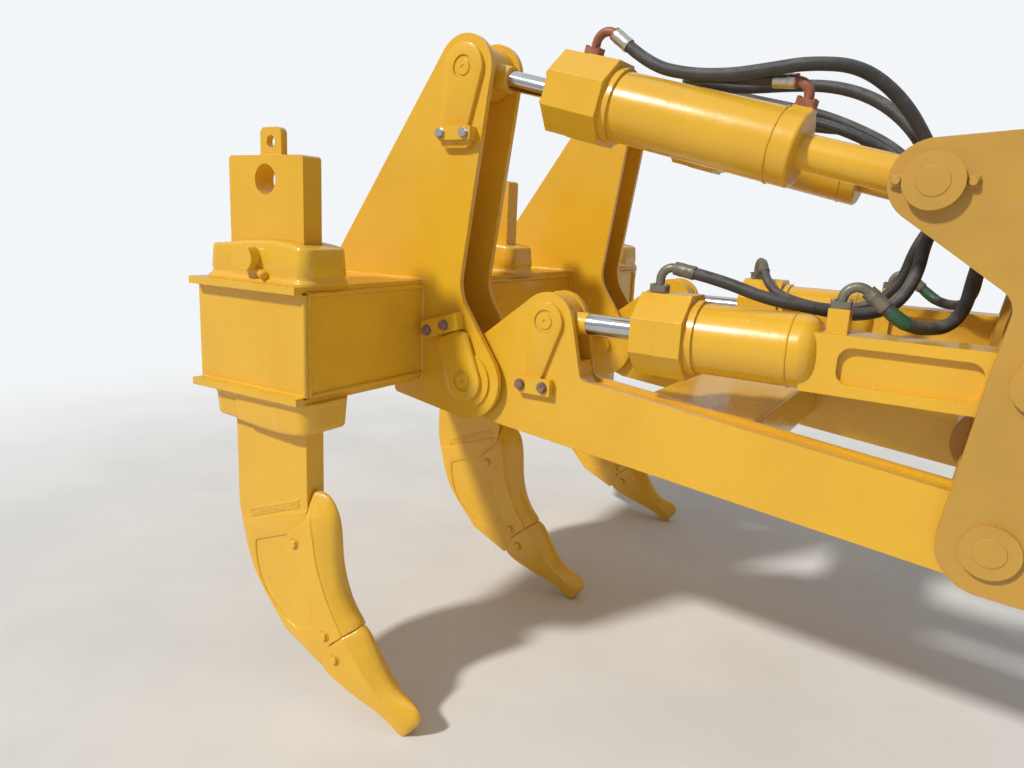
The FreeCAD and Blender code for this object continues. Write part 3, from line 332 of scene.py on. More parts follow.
hose_rubber = finish("hose rubber", rubber)
for name, (length, _) in HOSES.items():
    kind, _, end, side = name.split("_")
    line = smooth_line(route_of(name))
    distance = along(line)
    sleeved = np.zeros(len(line))
    if (kind, end) == ("lift", "base"):
        sleeved[(distance > SLEEVE_FROM) & (distance < SLEEVE_TO)] = 1
    skins = [skin(tube(line, HOSE_DIAMETER / 2 + sleeved * SLEEVE_PROUD, HOSE_SIDES))]
    hose = piece_of(f"hose_{kind}_{end}_{side}", None, hose_rubber, skins)
    for label, values in (("run", distance), ("sleeve", sleeved)):
        marks = hose.data.attributes.new(label, "FLOAT", "POINT")
        marks.data.foreach_set("value", np.repeat(values, HOSE_SIDES))
    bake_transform(hose)
    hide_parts(name)


# Hose ends: plated steel ferrules crimped on the rubber. They sit on elbows of primed steel at
# the tilt cylinders, and of oiled plated steel at the lift cylinders and the mounting plate.
CRIMP = [(0.000, 0.0200), (0.001, 0.0226), (0.007, 0.0234), (0.012, 0.0234), (0.013, 0.0226), (0.045, 0.0226),
         (0.046, 0.0234), (0.051, 0.0234), (0.054, 0.0224), (0.064, 0.0224), (0.066, 0.0200)]
CRIMP_SIDES = 24


def plated(flow):
    """Zinc plate gone dull, with specks of rust."""
    zinc, brown = (0.55, 0.54, 0.50), (0.24, 0.13, 0.07)
    rust = flow.noise(60.0, detail=6, rough=0.75).between(0.56, 0.74)
    return {"Base Color": rust.blend(zinc, brown), "Metallic": 1.0 - rust,
            "Roughness": rust * 0.4 + 0.33, "Normal": flow.bump(flow.noise(180.0) * 0.0003)}


def primer(flow):
    """Red-brown oxide primer, thin and rubbed."""
    red, pale_red = (0.27, 0.075, 0.035), (0.40, 0.17, 0.10)
    rubbed = flow.noise(30.0, detail=6, rough=0.7).between(0.4, 0.75)
    return {"Base Color": rubbed.blend(red, pale_red), "Roughness": rubbed * 0.2 + 0.42,
            "Normal": flow.bump(flow.noise(90.0) * 0.0005)}


def weathered(flow):
    """Plating gone olive grey under oil and dust."""
    olive_grey, oil_brown = (0.23, 0.215, 0.175), (0.115, 0.095, 0.065)
    film = flow.noise(34.0, detail=6, rough=0.7).between(0.40, 0.70)
    return {"Base Color": film.blend(olive_grey, oil_brown), "Metallic": (1.0 - film) * 0.6,
            "Roughness": film * 0.25 + 0.40, "Normal": flow.bump(flow.noise(150.0) * 0.0004)}


silver = finish("zinc plate", plated)
olive = finish("oiled plate", weathered)
oxide = finish("oxide primer", primer)
for side in SIDE_SIGN:
    for kind, elbows, ferrules in (("tilt", oxide, silver), ("lift", olive, olive)):
        dress(elbows, nodes[f"{kind}_ports_{side}"])
        routes = [route_of(f"{kind}_hose_{end}_{side}") for end in ("head", "base")]
        crimps = [turned(CRIMP, route[0], route[0] - route[1], CRIMP_SIDES) for route in routes]
        piece_of(f"ferrules_{kind}_{side}", f"{kind}_barrel_{side}", ferrules, crimps)
dress(olive, nodes["hose_bulkheads"])
crimps = [turned(CRIMP, route_of(name)[-1], (1, 0, 0), CRIMP_SIDES) for name in HOSES]
piece_of("ferrules_bulkhead", "bracket", silver, crimps)


# Studio floor, just under the lowest tip: pale, matt, and running out into the backdrop with
# no horizon. The light is a sun over the camera's left shoulder and a pale sky all round.
FLOOR_Z, FLOOR_HALF = -1.382, 30.0
FADE_START, FADE_END = 4.0, 9.0
FLOOR_DARK, FLOOR_LIGHT, BACKDROP = (0.70, 0.695, 0.685), (0.76, 0.755, 0.745), (0.90, 0.92, 0.94)
SUN_FROM, SUN_COLOUR = (-0.40, -0.80, 0.78), (1.0, 0.97, 0.91)
SUN_STRENGTH, SUN_SPREAD = 2.75, math.radians(5)
SKY_LOW, SKY_HIGH = (0.50, 0.51, 0.53), (0.95, 0.97, 1.0)
SKY_STRENGTH, SHINE_STRENGTH = 0.42, 0.80

mesh = bpy.data.meshes.new("floor")
mesh.from_pydata([(x * FLOOR_HALF, y * FLOOR_HALF, FLOOR_Z) for x, y in ((-1, -1), (1, -1), (1, 1), (-1, 1))],
                 [], [(0, 1, 2, 3)])
floor = bpy.data.objects.new("floor", mesh)
bpy.context.collection.objects.link(floor)


def pale_floor(flow):
    """Pale matt floor, which turns into the backdrop's own colour far from the ripper."""
    cloud = flow.noise(1.3).between(0.3, 0.7)
    spot = flow.node("TexCoord", out="Object")
    far = flow.node("VectorMath", {"operation": "LENGTH"}, {0: spot}, out="Value")
    fade = far.between(FADE_START, FADE_END) * flow.node("LightPath", out="Is Camera Ray")
    return {"Base Color": fade.blend(cloud.blend(FLOOR_DARK, FLOOR_LIGHT), (0, 0, 0)),
            "Roughness": 0.8, "Specular IOR Level": 0.0,
            "Emission Color": fade.blend((0, 0, 0), BACKDROP), "Emission Strength": 1.0}


dress(finish("studio floor", pale_floor), floor)

sun = bpy.data.objects.new("sun", bpy.data.lights.new("sun", "SUN"))
sun.data.energy = SUN_STRENGTH
sun.data.angle = SUN_SPREAD
sun.data.color = SUN_COLOUR
bpy.context.collection.objects.link(sun)
sun_side, sun_over, sun_way = square_to(SUN_FROM)
sun.matrix_world = Matrix([[sun_side[i], sun_over[i], sun_way[i], 0] for i in range(3)] + [[0, 0, 0, 1]])

world = bpy.data.worlds.new("pale room")
world.use_nodes = True
bpy.context.scene.world = world
sky = Flow(world.node_tree)
seen = sky.node("LightPath", out="Is Camera Ray")
shining = sky.node("LightPath", out="Is Glossy Ray")
height = sky.node("SeparateXYZ", {}, {"Vector": sky.node("TexCoord", out="Generated")}, out="Z")
room = seen.blend(height.between(-0.05, 0.75).blend(SKY_LOW, SKY_HIGH), BACKDROP)
strength = sky.maths("MAXIMUM", seen, sky.maths("MAXIMUM", shining * SHINE_STRENGTH, SKY_STRENGTH))
backdrop = world.node_tree.nodes["Background"]
world.node_tree.links.new(room.socket, backdrop.inputs["Color"])
world.node_tree.links.new(strength.socket, backdrop.inputs["Strength"])


# Welded steel: the mounting plate and its cheeks, the arms, the beam and the masts are flame-cut
# plate, welded up and sprayed with yellow gloss enamel, which is thick enough to run on upright
# faces. The plates' edges are ground to a small round.
PAINT, PAINT_DEEP, DUST = (0.79, 0.452, 0.026), (0.68, 0.355, 0.016), (0.40, 0.30, 0.17)
EDGE_ROUND = 0.003


def enamel(flow, paint=PAINT, deep=PAINT_DEEP, rough=0.27, cast=0.0, grime=0.0):
    """Gloss enamel: a cloudy tint, runs down upright faces, dust on flat ones, a wavy surface."""
    facing = flow.facing_up()
    cloud = flow.noise(3.1, detail=5).between(0.35, 0.72)
    drip = flow.noise(105.0, stretch=(1, 1, 0.05), detail=1).between(0.62, 0.72)
    patch = flow.noise(4.3, detail=3).between(0.50, 0.60)
    runs = drip * patch * (1.0 - facing.maths("ABSOLUTE")).between(0.7, 0.95)
    colour = (cloud * 0.38 + runs * 0.2).blend(paint, deep)
    soil = flow.noise(14.0, detail=6, rough=0.7).between(0.56, 0.80)
    soiled = soil * (facing.between(0.35, 0.95) * 0.40 + 0.08 + grime)
    colour = soiled.blend(colour, DUST)
    relief = flow.noise(15.0, detail=3) * (0.0010 + cast * 0.0022) + runs * 0.0022
    if cast:
        relief = relief + flow.noise(46.0, detail=4) * (0.0016 * cast)
    rounded = flow.node("Bevel", {"samples": 3}, {"Radius": EDGE_ROUND})
    return {"Base Color": colour, "Roughness": soil * 0.25 + (rough + grime * 0.3),
            "Normal": flow.bump(relief, Normal=rounded), "Coat Weight": 0.3, "Coat Roughness": 0.10}


plate_enamel = finish("plate enamel", enamel)
for name, piece in nodes.items():
    if "hose" not in name and "ports" not in name:
        dress(plate_enamel, piece)


# Bracket: the mounting plate and the cheeks that carry the ripper, with their pins. Their
# enamel is darker and duller than the rest: partly painted shade, as if in a shadow, and
# partly old enamel dulled by dust and oil.
# Painted shade: this darker yellow stands partly for shadow falling on the bracket.
SHADED_OLD_PAINT, SHADED_OLD_DEEP = (0.56, 0.310, 0.040), (0.37, 0.210, 0.045)

shaded_old_enamel = finish("old enamel", lambda flow: enamel(flow, SHADED_OLD_PAINT, SHADED_OLD_DEEP, rough=0.36, grime=0.35))
dress(shaded_old_enamel, *(piece for name, piece in nodes.items()
                    if name.startswith(("bracket", "mounting", "tilt_base", "lift_base", "link_front"))))


# Pin ends: each bracket pin is closed by a flat cap with a turned edge, and each pin of the
# arms, masts and lugs shows a turned boss with a centre hole.
PINS = {  # node: the body that its ends ride on
    "tilt_base_pins": "bracket", "lift_base_pins": "bracket", "link_front_pins": "bracket",
    "link_rear_pins": "rear_pins", "tilt_rod_pins": "ripper", "lift_rod_pins": "lower_link"}
PIN_SIDES = 32
CAP_DISC = [(-0.002, 0.041), (0.0008, 0.041), (0.0022, 0.0395), (0.0022, 0.0)]
BOSS = [(-0.002, 0.028), (0.0030, 0.028), (0.0042, 0.0265), (0.0042, 0.0075), (0.0012, 0.0060), (0.0012, 0.0)]

for node, body in PINS.items():
    low, high = np.array(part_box(node))
    middle = (low + high) / 2
    profile, coat = (CAP_DISC, shaded_old_enamel) if body == "bracket" else (BOSS, plate_enamel)
    ends = [turned(profile, (middle[0], y, middle[2]), (0, y, 0), PIN_SIDES) for y in (low[1], high[1])]
    piece_of(node + "_ends", body, coat, ends)


# Keeper bolts: plain hexagon heads on washers, some bright and some rusted purple-brown, on the
# bars that hold the keeper plates. Each came tight at an angle of its own.
HEX = [  # height and radius in head radii, and 1 where the row is hexagonal
    (-0.002, 1.25, 0), (0.16, 1.25, 0), (0.161, 1.0, 1), (0.70, 1.0, 1), (0.86, 0.93, 0), (0.861, 0.0, 0)]
HEX_STEPS = 24
TURN_PER_METRE = 9
MAST_BAR_FACE, LUG_BAR_FACE = 0.7535, 0.702
KEEPER_BOLTS = {  # piece: body, metal, face, head radius, places
    "upper_keeper_bolts": ("ripper", "bright", MAST_BAR_FACE, 0.0155, ((-2.166, 0.665), (-2.062, 0.664))),
    "lower_keeper_bolts": ("ripper", "rusted", MAST_BAR_FACE, 0.0165, ((-2.208, -0.058), (-2.128, -0.030))),
    "lug_keeper_bolts": ("lower_link", "rusted", LUG_BAR_FACE, 0.0165, ((-1.812, -0.217), (-1.718, -0.217))),
}


def bolt(centre, way, size, turn):
    """A washer and a hexagon head: circles and hexagons about the axis, at the rows of HEX.

    The hexagon's radius is 1 / cos of the angle from the middle of the nearest flat.
    """
    side, other, axis = square_to(way)
    angle = np.linspace(0, 2 * math.pi, HEX_STEPS, endpoint=False)
    hexagon = 1 / np.cos((angle % (math.pi / 3)) - math.pi / 6)
    height, radius, hexness = np.array(HEX).T
    reach = radius[:, None] * (1 + hexness[:, None] * (hexagon - 1)) * size
    spoke = np.cos(angle + turn)[:, None] * side + np.sin(angle + turn)[:, None] * other
    return skin(np.array(centre) + (height * size)[:, None, None] * axis + reach[..., None] * spoke)


def rusted(flow):
    """Bare steel under a purple-brown bloom of rust."""
    steel, purple_brown = (0.34, 0.25, 0.20), (0.15, 0.055, 0.045)
    bloom = flow.noise(90.0, detail=6, rough=0.75).between(0.38, 0.66)
    return {"Base Color": bloom.blend(steel, purple_brown), "Metallic": (1.0 - bloom) * 0.5,
            "Roughness": bloom * 0.3 + 0.45, "Normal": flow.bump(flow.noise(260.0) * 0.0006)}


metals = {"bright": silver, "rusted": finish("rusted steel", rusted)}
for name, (body, metal, face, size, places) in KEEPER_BOLTS.items():
    heads = [bolt((x, out * face, z), (0, out, 0), size, TURN_PER_METRE * x)
             for out in (1, -1) for x, z in places]
    piece_of(name, body, metals[metal], heads, sharp=25)


# Tabs beside the tilt base caps, each held by a painted bolt, and the lip under each upper
# keeper bar: small plates with a rounded edge, welded on.
CHEEK_FACE, TAB_THICK, TAB_EDGE = 0.7195, 0.014, 0.002
TAB_NEAR, TAB_FAR, TAB_HALF, TAB_CORNER = 0.060, 0.103, 0.016, 0.003
TAB_BOLT_AT, TAB_BOLT, TAB_BOLT_TURN = 0.089, 0.0105, 0.3
BAR_LIP = [(-2.178, 0.652, 0.006), (-2.178, 0.612, 0.026), (-2.048, 0.612, 0.026), (-2.044, 0.652, 0.006)]
BAR_LIP_FACES, BAR_LIP_EDGE = (0.7115, 0.735), 0.004
EDGE_KNEE, ARC_STEPS = 0.3, 6
joints = {joint["name"]: joint for joint in frame["record"]["behaviour"]["joints"]}


def edge_levels(face, edge):
    """The (y, inset) levels of an edge that rounds off into a face, in three steps.

    A negative edge is that of a face to the right.
    """
    return (face - edge, 0), (face - edge * EDGE_KNEE, abs(edge) * EDGE_KNEE), (face, abs(edge))


def slab(outline, y_low, y_high, edge):
    """A flat plate across Y with its edges rounded: rings of its outline, drawn in at both faces."""
    outline = np.array(outline, float)
    inward = outline.mean(axis=0) - outline
    inward /= np.linalg.norm(inward, axis=1)[:, None]
    levels = edge_levels(y_low, -edge)[::-1] + edge_levels(y_high, edge)
    return skin(np.array([np.insert(outline + inward * inset, 1, y, axis=1) for y, inset in levels]))


def round_outline(corners):
    """An outline of (x, z, radius) corners, each turned by an arc between its two tangent points."""
    spots = []
    corners = [(np.array((x, z), float), radius) for x, z, radius in corners]
    for index, (corner, radius) in enumerate(corners):
        back = corners[index - 1][0] - corner
        on = corners[(index + 1) % len(corners)][0] - corner
        back, on = back / np.linalg.norm(back), on / np.linalg.norm(on)
        half = math.acos(np.clip(np.dot(back, on), -1, 1)) / 2
        middle = corner + (back + on) / np.linalg.norm(back + on) * radius / math.sin(half)
        first, last = corner + back * radius / math.tan(half), corner + on * radius / math.tan(half)
        for share in np.linspace(0, 1, ARC_STEPS):
            spot = first + (last - first) * share - middle
            spots.append(middle + spot / np.linalg.norm(spot) * radius)
    return spots


cap_x, _, cap_z = joints["tilt_swing_right"]["pos_m"]
tab_face = CHEEK_FACE + TAB_THICK
tabs, tab_bolts, lips = [], [], []
for out in (1, -1):
    for forward in (1, -1):
        plate = round_outline([(cap_x + forward * x, cap_z + z, TAB_CORNER)
                               for x, z in ((TAB_NEAR, -TAB_HALF), (TAB_FAR, -TAB_HALF),
                                            (TAB_FAR, TAB_HALF), (TAB_NEAR, TAB_HALF))])
        tabs.append(slab(plate, *sorted((out * CHEEK_FACE, out * tab_face)), TAB_EDGE))
        spot = (cap_x + forward * TAB_BOLT_AT, out * tab_face, cap_z)
        tab_bolts.append(bolt(spot, (0, out, 0), TAB_BOLT, TAB_BOLT_TURN))
    lips.append(slab(round_outline(BAR_LIP), *sorted(out * face for face in BAR_LIP_FACES), BAR_LIP_EDGE))
piece_of("tilt_cap_tabs", "bracket", shaded_old_enamel, tabs + tab_bolts, sharp=25)
piece_of("upper_keeper_lips", "ripper", plate_enamel, lips)


# Pin keepers: a plate with a tail round the outer end of each rear pin of the linkage, up to the
# bar that holds its tail. The pin's end stands a little back in the plate's hole.
KEEPER_HOLE, KEEPER_EDGE, KEEPER_STEPS = 0.0403, 0.002, 160
KEEPERS = {  # piece: body, pin, seat, face, circles as x, z from the pin and radius
    "upper_keepers": ("ripper", (-2.095, 0.890), 0.7110, 0.7265,
                      ((0, 0, 0.083), (-0.080, -0.192, 0.012), (0.018, -0.192, 0.012))),
    "lower_keepers": ("ripper", (-2.050, -0.235), 0.7190, 0.7345,
                      ((0, 0, 0.078), (-0.022, 0.158, 0.030), (-0.092, 0.128, 0.030))),
    "lug_keepers": ("lower_link", (-1.730, 0.020), 0.6735, 0.6885,
                    ((0, 0, 0.070), (-0.060, -0.197, 0.012), (-0.012, -0.197, 0.012))),
}


def belt(circles, inset, ways):
    """A belt round circles: to each way, the point of the circle that reaches furthest that way."""
    centres, radii = np.array(circles)[:, :2], np.array(circles)[:, 2] - inset
    furthest = (centres @ ways.T + radii[:, None]).argmax(axis=0)
    return centres[furthest] + ways * radii[furthest][:, None]


turn = np.linspace(0, 2 * math.pi, KEEPER_STEPS, endpoint=False)
ways = np.stack([np.cos(turn), np.sin(turn)], axis=1)
for name, (body, (pin_x, pin_z), seat, face, circles) in KEEPERS.items():
    hole = [(0, 0, KEEPER_HOLE)]
    levels = [(hole, seat, 0), (circles, seat, 0)]
    levels += [(circles, y, inset) for y, inset in edge_levels(face, KEEPER_EDGE)]
    levels += [(hole, face, -KEEPER_EDGE / 2), (hole, face - KEEPER_EDGE / 2, 0)]
    rings = np.array([np.insert(belt(outline, inset, ways), 1, y, axis=1) for outline, y, inset in levels])
    plates = [skin((rings + (pin_x, 0, pin_z)) * (1, out, 1), closed=True) for out in (1, -1)]
    piece_of(name, body, plate_enamel, plates)


# Welds of the beam and the masts: fillets run by hand where plate meets plate, with a ripple
# every few millimetres, painted over.
BEAD_STEP, BEAD_SIDES, FEWEST_STEPS = 0.0045, 8, 4
RIPPLE, RIPPLE_DEEP, WAVER, WAVER_STEPS = 0.011, 0.11, 0.09, 6
FLANGE, FLANGE_OUT, WEB_SEAM, END_SEAM, SEAM_PROUD = 0.025, 0.040, 0.017, 0.012, 0.002
REAR_INSET, TOP_SEAM_IN, UNDER_SEAM_X = 0.011, 0.02, -2.39
OUTER_MAST_Y, INNER_MAST_Y = 0.72, 0.49
END_BEAD, FLANGE_BEAD, FRONT_BEAD, MAST_BEAD = 0.008, 0.009, 0.0095, 0.009
draw = np.random.default_rng(7)


def bead(points, size, closed=False):
    """A weld along a line: a tube whose radius ripples with the torch and wavers at random."""
    points = np.array(points, float)
    run = along(points)
    steps = max(int(run[-1] / BEAD_STEP), FEWEST_STEPS)
    spots = np.linspace(0, run[-1], steps, endpoint=not closed)
    path = np.stack([np.interp(spots, run, points[:, axis]) for axis in range(3)], axis=1)
    knots = steps // WAVER_STEPS + 2
    waver = np.interp(spots, np.linspace(0, run[-1], knots), draw.normal(0, WAVER, knots))
    radius = size * (1 + RIPPLE_DEEP * np.sin(spots * 2 * math.pi / RIPPLE) + waver)
    return skin(tube(path, radius, BEAD_SIDES), closed)


low, high = np.array(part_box("ripper_beam"))
front, rear = high[0], low[0] + REAR_INSET
proud = front + SEAM_PROUD
end_plate = high[1] - FLANGE_OUT
seam_heights = (low[2] + FLANGE, high[2] - FLANGE)
beads = []
for out in (1, -1):
    y = out * end_plate
    for z in seam_heights:
        beads.append(bead([(rear, y, z), (front, y, z)], END_BEAD))
        for x in (rear, proud):
            beads.append(bead([(x, y - out * END_SEAM, z), (x, out * OUTER_MAST_Y, z)], FLANGE_BEAD))
    for seam in (0, WEB_SEAM):
        beads.append(bead([(proud, y - out * seam, z) for z in seam_heights], FRONT_BEAD))
for z in seam_heights:
    beads.append(bead([(proud, y, z) for y in (-INNER_MAST_Y, INNER_MAST_Y)], FLANGE_BEAD))
for side in SIDE_SIGN:
    for wall in ("outer", "inner"):
        under, over = np.array(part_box(f"mast_{side}_{wall}"))
        for y in (under[1], over[1]):
            beads.append(bead([(rear + TOP_SEAM_IN, y, high[2]), (front, y, high[2]), (front, y, low[2]),
                               (UNDER_SEAM_X, y, low[2])], MAST_BEAD))
piece_of("beam_welds", "ripper", plate_enamel, beads, sharp=60)


# Welds of the lower link: a fillet runs all round the cross member where each of its ends meets
# an arm, and the enamel covers it.
LINK_INSET, LINK_BEAD = 0.01, 0.009
low, high = np.array(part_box("link_cross_member"))
rear, under = low[0] + LINK_INSET, low[2] + LINK_INSET
front, over = high[0] - LINK_INSET, high[2] - LINK_INSET
around = ((rear, under), (rear, over), (front, over), (front, under), (rear, under))
beads = [bead([(x, y, z) for x, z in around], LINK_BEAD, closed=True) for y in (low[1], high[1])]
piece_of("link_welds", "lower_link", plate_enamel, beads, sharp=60)


# Cylinders: honed tubes with a bolted eight-sided head, the enamel brushed on in place. A weld
# joins each tube to its base. Eight bolts hold each head's end cap, four each port flange.
CYLINDERS = {  # kind: head's end and bolt ring, weld's place and radius, ports' places and seats, metal
    "tilt": (1.218, 0.117, (0.452, 0.1125), ((1.140, 0.135), (0.412, 0.118)), oxide),
    "lift": (1.130, 0.098, (0.640, 0.115), ((1.090, 0.138), (0.520, 0.140)), silver),
}
ARM_Y, HEAD_BOLTS, HEAD_BOLT = 0.6065, 8, 0.0135
TUBE_WELD, TUBE_WELD_POINTS = 0.0035, 73
FLANGE_DEEP, FLANGE_BOLT, FLANGE_TURN_PER_METRE = 0.022, 0.0062, 40
FLANGE_BOLT_SPOTS = [(along_it, over) for along_it in (-0.0225, 0.0225) for over in (-0.0135, 0.0135)]


def cylinder_spot(kind, side, distance, outwards, up):
    """A place on a cylinder: along its axis from the base pin, out to its side, and up from it."""
    base = np.array(joints[f"{kind}_swing_{side}"]["pos_m"])
    way = np.array(joints[f"{kind}_slide_{side}"]["axis"])
    rise = np.array((way[2], 0, -way[0]))
    return base + way * distance + rise * up + np.array((0, SIDE_SIGN[side], 0)) * (ARM_Y + outwards)


def round_cylinder(kind, side, distance, radius, turn):
    """A place on a circle about a cylinder's axis: cosine outwards, sine up."""
    return cylinder_spot(kind, side, distance, radius * math.cos(turn), radius * math.sin(turn))


cast_enamel = finish("cast enamel", lambda flow: enamel(flow, rough=0.30, cast=1.0))
for side in SIDE_SIGN:
    for kind, (head_end, bolt_ring, tube_weld, ports, metal) in CYLINDERS.items():
        start = cylinder_spot(kind, side, 0, 0, 0)
        end_way = cylinder_spot(kind, side, 1, 0, 0) - start
        up_way = cylinder_spot(kind, side, 0, 0, 1) - start
        turns = [math.pi / HEAD_BOLTS * (1 + 2 * step) for step in range(HEAD_BOLTS)]
        heads = [bolt(round_cylinder(kind, side, head_end, bolt_ring, turn), end_way, HEAD_BOLT, turn)
                 for turn in turns]
        ring = [round_cylinder(kind, side, *tube_weld, turn)
                for turn in np.linspace(0, 2 * math.pi, TUBE_WELD_POINTS)]
        heads.append(bead(ring, TUBE_WELD, closed=True))
        barrel = f"{kind}_barrel_{side}"
        piece_of(f"{kind}_head_bolts_{side}", barrel, plate_enamel, heads, sharp=25)
        bolts = [bolt(cylinder_spot(kind, side, place + dx, dy, seat + FLANGE_DEEP), up_way,
                      FLANGE_BOLT, dx * FLANGE_TURN_PER_METRE)
                 for place, seat in ports for dx, dy in FLANGE_BOLT_SPOTS]
        piece_of(f"{kind}_port_bolts_{side}", barrel, metal, bolts, sharp=25)


# Cylinder rods: steel bars, ground and hard-chromed, that slide in the barrels. The chrome ends
# at the collar of the eye, which is painted like the rest.
CHROME, OILED_CHROME = (0.62, 0.63, 0.65), (0.50, 0.51, 0.53)
CHROME_FADE = (-0.0008, 0.0002)
CHROME_ENDS = {"tilt": 1.4368, "lift": 1.3400}


def rod_finish(flow, kind):
    """Chrome with faint ground rings and wiped oil, or enamel past the chrome's end on the axis."""
    base, way = joints[f"{kind}_swing_right"]["pos_m"], joints[f"{kind}_slide_right"]["axis"]
    spot = flow.node("TexCoord", out="Object")
    from_base = flow.node("VectorMath", {"operation": "SUBTRACT"}, {0: spot, 1: base})
    run = flow.node("VectorMath", {"operation": "DOT_PRODUCT"}, {0: from_base, 1: way}, out="Value")
    eye = run.between(*(CHROME_ENDS[kind] + past for past in CHROME_FADE))
    wiped = flow.noise(9.0, detail=5).between(0.4, 0.7)
    paint = enamel(flow)
    ground = flow.bump(flow.noise(400.0, detail=1) * 0.00006)
    return {"Base Color": eye.blend(wiped.blend(CHROME, OILED_CHROME), paint["Base Color"]),
            "Metallic": 1.0 - eye, "Roughness": eye * 0.2 + wiped * 0.10 + 0.10,
            "Normal": eye.blend(ground, paint["Normal"], "VECTOR")}


for kind in CYLINDERS:
    dress(finish(kind + " rod chrome", lambda flow: rod_finish(flow, kind)),
          nodes[kind + "_rod_left"], nodes[kind + "_rod_right"])


# Pockets: a steel casting above the beam and one below it hold each shank. The upper one arches
# along its top and flares to a foot. The rear lobe of each is set back behind an upright groove,
# and the lower one's front stands a little proud.
POCKET_MIDDLE, POCKET_HALF, POCKET_ROUND = 0.005, (0.2535, 0.1085), 0.050
SLOT_HALF, SLOT_ROUND = (0.184, 0.0425), 0.002
ROUND_STEPS, SIDE_STEPS = 10, 56
REAR_LOBE, REAR_LOBE_IN, GROOVE_X, GROOVE_WIDE, GROOVE_IN = (0.112, 0.128), 0.09, -0.119, 0.006, 0.07
FRONT_LOBE = (0.078, 0.088)
POCKETS = (  # base, way, depth, arch, peak, foot, step
    (0.128, 1, 0.118, 0.022, 0.62, 1, 0),
    (-0.261, -1, 0.104, 0.018, 0.66, 0, 0.03))
FOOT_TOP, TAPER_FROM, TAPER, MOST_ROUNDED_OFF = 0.1, 0.013, 0.085, 0.03
POCKET_LEVELS = (  # height in metres in the foot, and over it as a share of the depth; inset; lobe
    (0.0, None, 0), (0.0, -0.0035, 0), (0.009, -0.0035, 0), (0.013, -0.0015, 0), (0.0145, 0.0005, 0.3),
    (0.020, 0.0025, 0.8), (0.030, 0.0040, 1), (0.30, 0.0, 1), (0.62, 0.0, 1), (0.88, 0.0, 1),
    (0.95, 0.0015, 1), (0.985, 0.005, 1), (1.0, 0.011, 1), (1.0, None, 0))


def round_box(half_x, half_y, corner):
    """A box's outline with round corners, as many points on each corner and side at any size."""
    turn = np.linspace(0, math.pi / 2, ROUND_STEPS)
    arcs = []
    for quarter, (x, y) in enumerate(((1, 1), (-1, 1), (-1, -1), (1, -1))):
        angle = quarter * math.pi / 2 + turn
        arcs.append(np.stack([x * (half_x - corner) + corner * np.cos(angle),
                              y * (half_y - corner) + corner * np.sin(angle)], axis=1))
    share = np.linspace(0, 1, SIDE_STEPS + 2)[1:-1, None]
    spots = []
    for quarter, arc in enumerate(arcs):
        spots += [arc, arc[-1] + (arcs[(quarter + 1) % 4][0] - arc[-1]) * share]
    return np.concatenate(spots)


def rising(value, low, high):
    """0 up to low, 1 from high on, and smooth between."""
    share = np.clip((value - low) / (high - low), 0, 1)
    return share * share * (3 - 2 * share)


def pocket(x_middle, y_middle, base, way, depth, arch, peak, foot, step):
    """A casting: rings of its box outline from the slot out over foot, wall and rim to the slot.

    A wall ring draws in with height by the taper, its rear lobe by the groove's depth, and all
    but its front by the step. The rim's height is the depth plus an arch, a half sine whose top
    stands at `peak` of the length.
    """
    rings = []
    for level, inset, lobe in POCKET_LEVELS:
        in_foot = level < FOOT_TOP
        if inset is None:
            ring = round_box(*SLOT_HALF, SLOT_ROUND)
        else:
            height = level if in_foot else level * depth
            narrow = inset * (foot if in_foot else 1) + (height * TAPER if level > TAPER_FROM else 0)
            ring = round_box(POCKET_HALF[0] - narrow, POCKET_HALF[1] - narrow,
                             POCKET_ROUND - min(narrow, MOST_ROUNDED_OFF))
            back = rising(-ring[:, 0], *REAR_LOBE)
            groove = np.exp(-((ring[:, 0] - GROOVE_X) / GROOVE_WIDE) ** 2)
            front = rising(ring[:, 0], *FRONT_LOBE)
            drawn_in = lobe * (REAR_LOBE_IN * back + GROOVE_IN * groove) + step * (1 - front)
            ring = ring * np.stack([np.ones(len(ring)), 1 - drawn_in], axis=1)
        share = np.clip((ring[:, 0] + POCKET_HALF[0]) / (2 * POCKET_HALF[0]), 0, 1)
        rise = depth + arch * np.sin(math.pi * share ** (math.log(0.5) / math.log(peak)))
        z = np.full(len(ring), level) if in_foot else level * rise
        rings.append(np.stack([ring[:, 0] + x_middle, ring[:, 1] + y_middle, base + way * z], axis=1))
    return skin(np.array(rings), closed=True)


shank_middle = {}
for name in ("left", "centre", "right"):
    low, high = np.array(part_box("pocket_" + name))
    x, y = (low[0] + high[0]) / 2 - POCKET_MIDDLE, (low[1] + high[1]) / 2
    shank_middle[name] = x, y
    casts = [pocket(x + POCKET_MIDDLE, y, *casting) for casting in POCKETS]
    piece = piece_of("pocket_castings_" + name, "ripper", cast_enamel, casts, sharp=50)
    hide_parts("pocket_" + name)


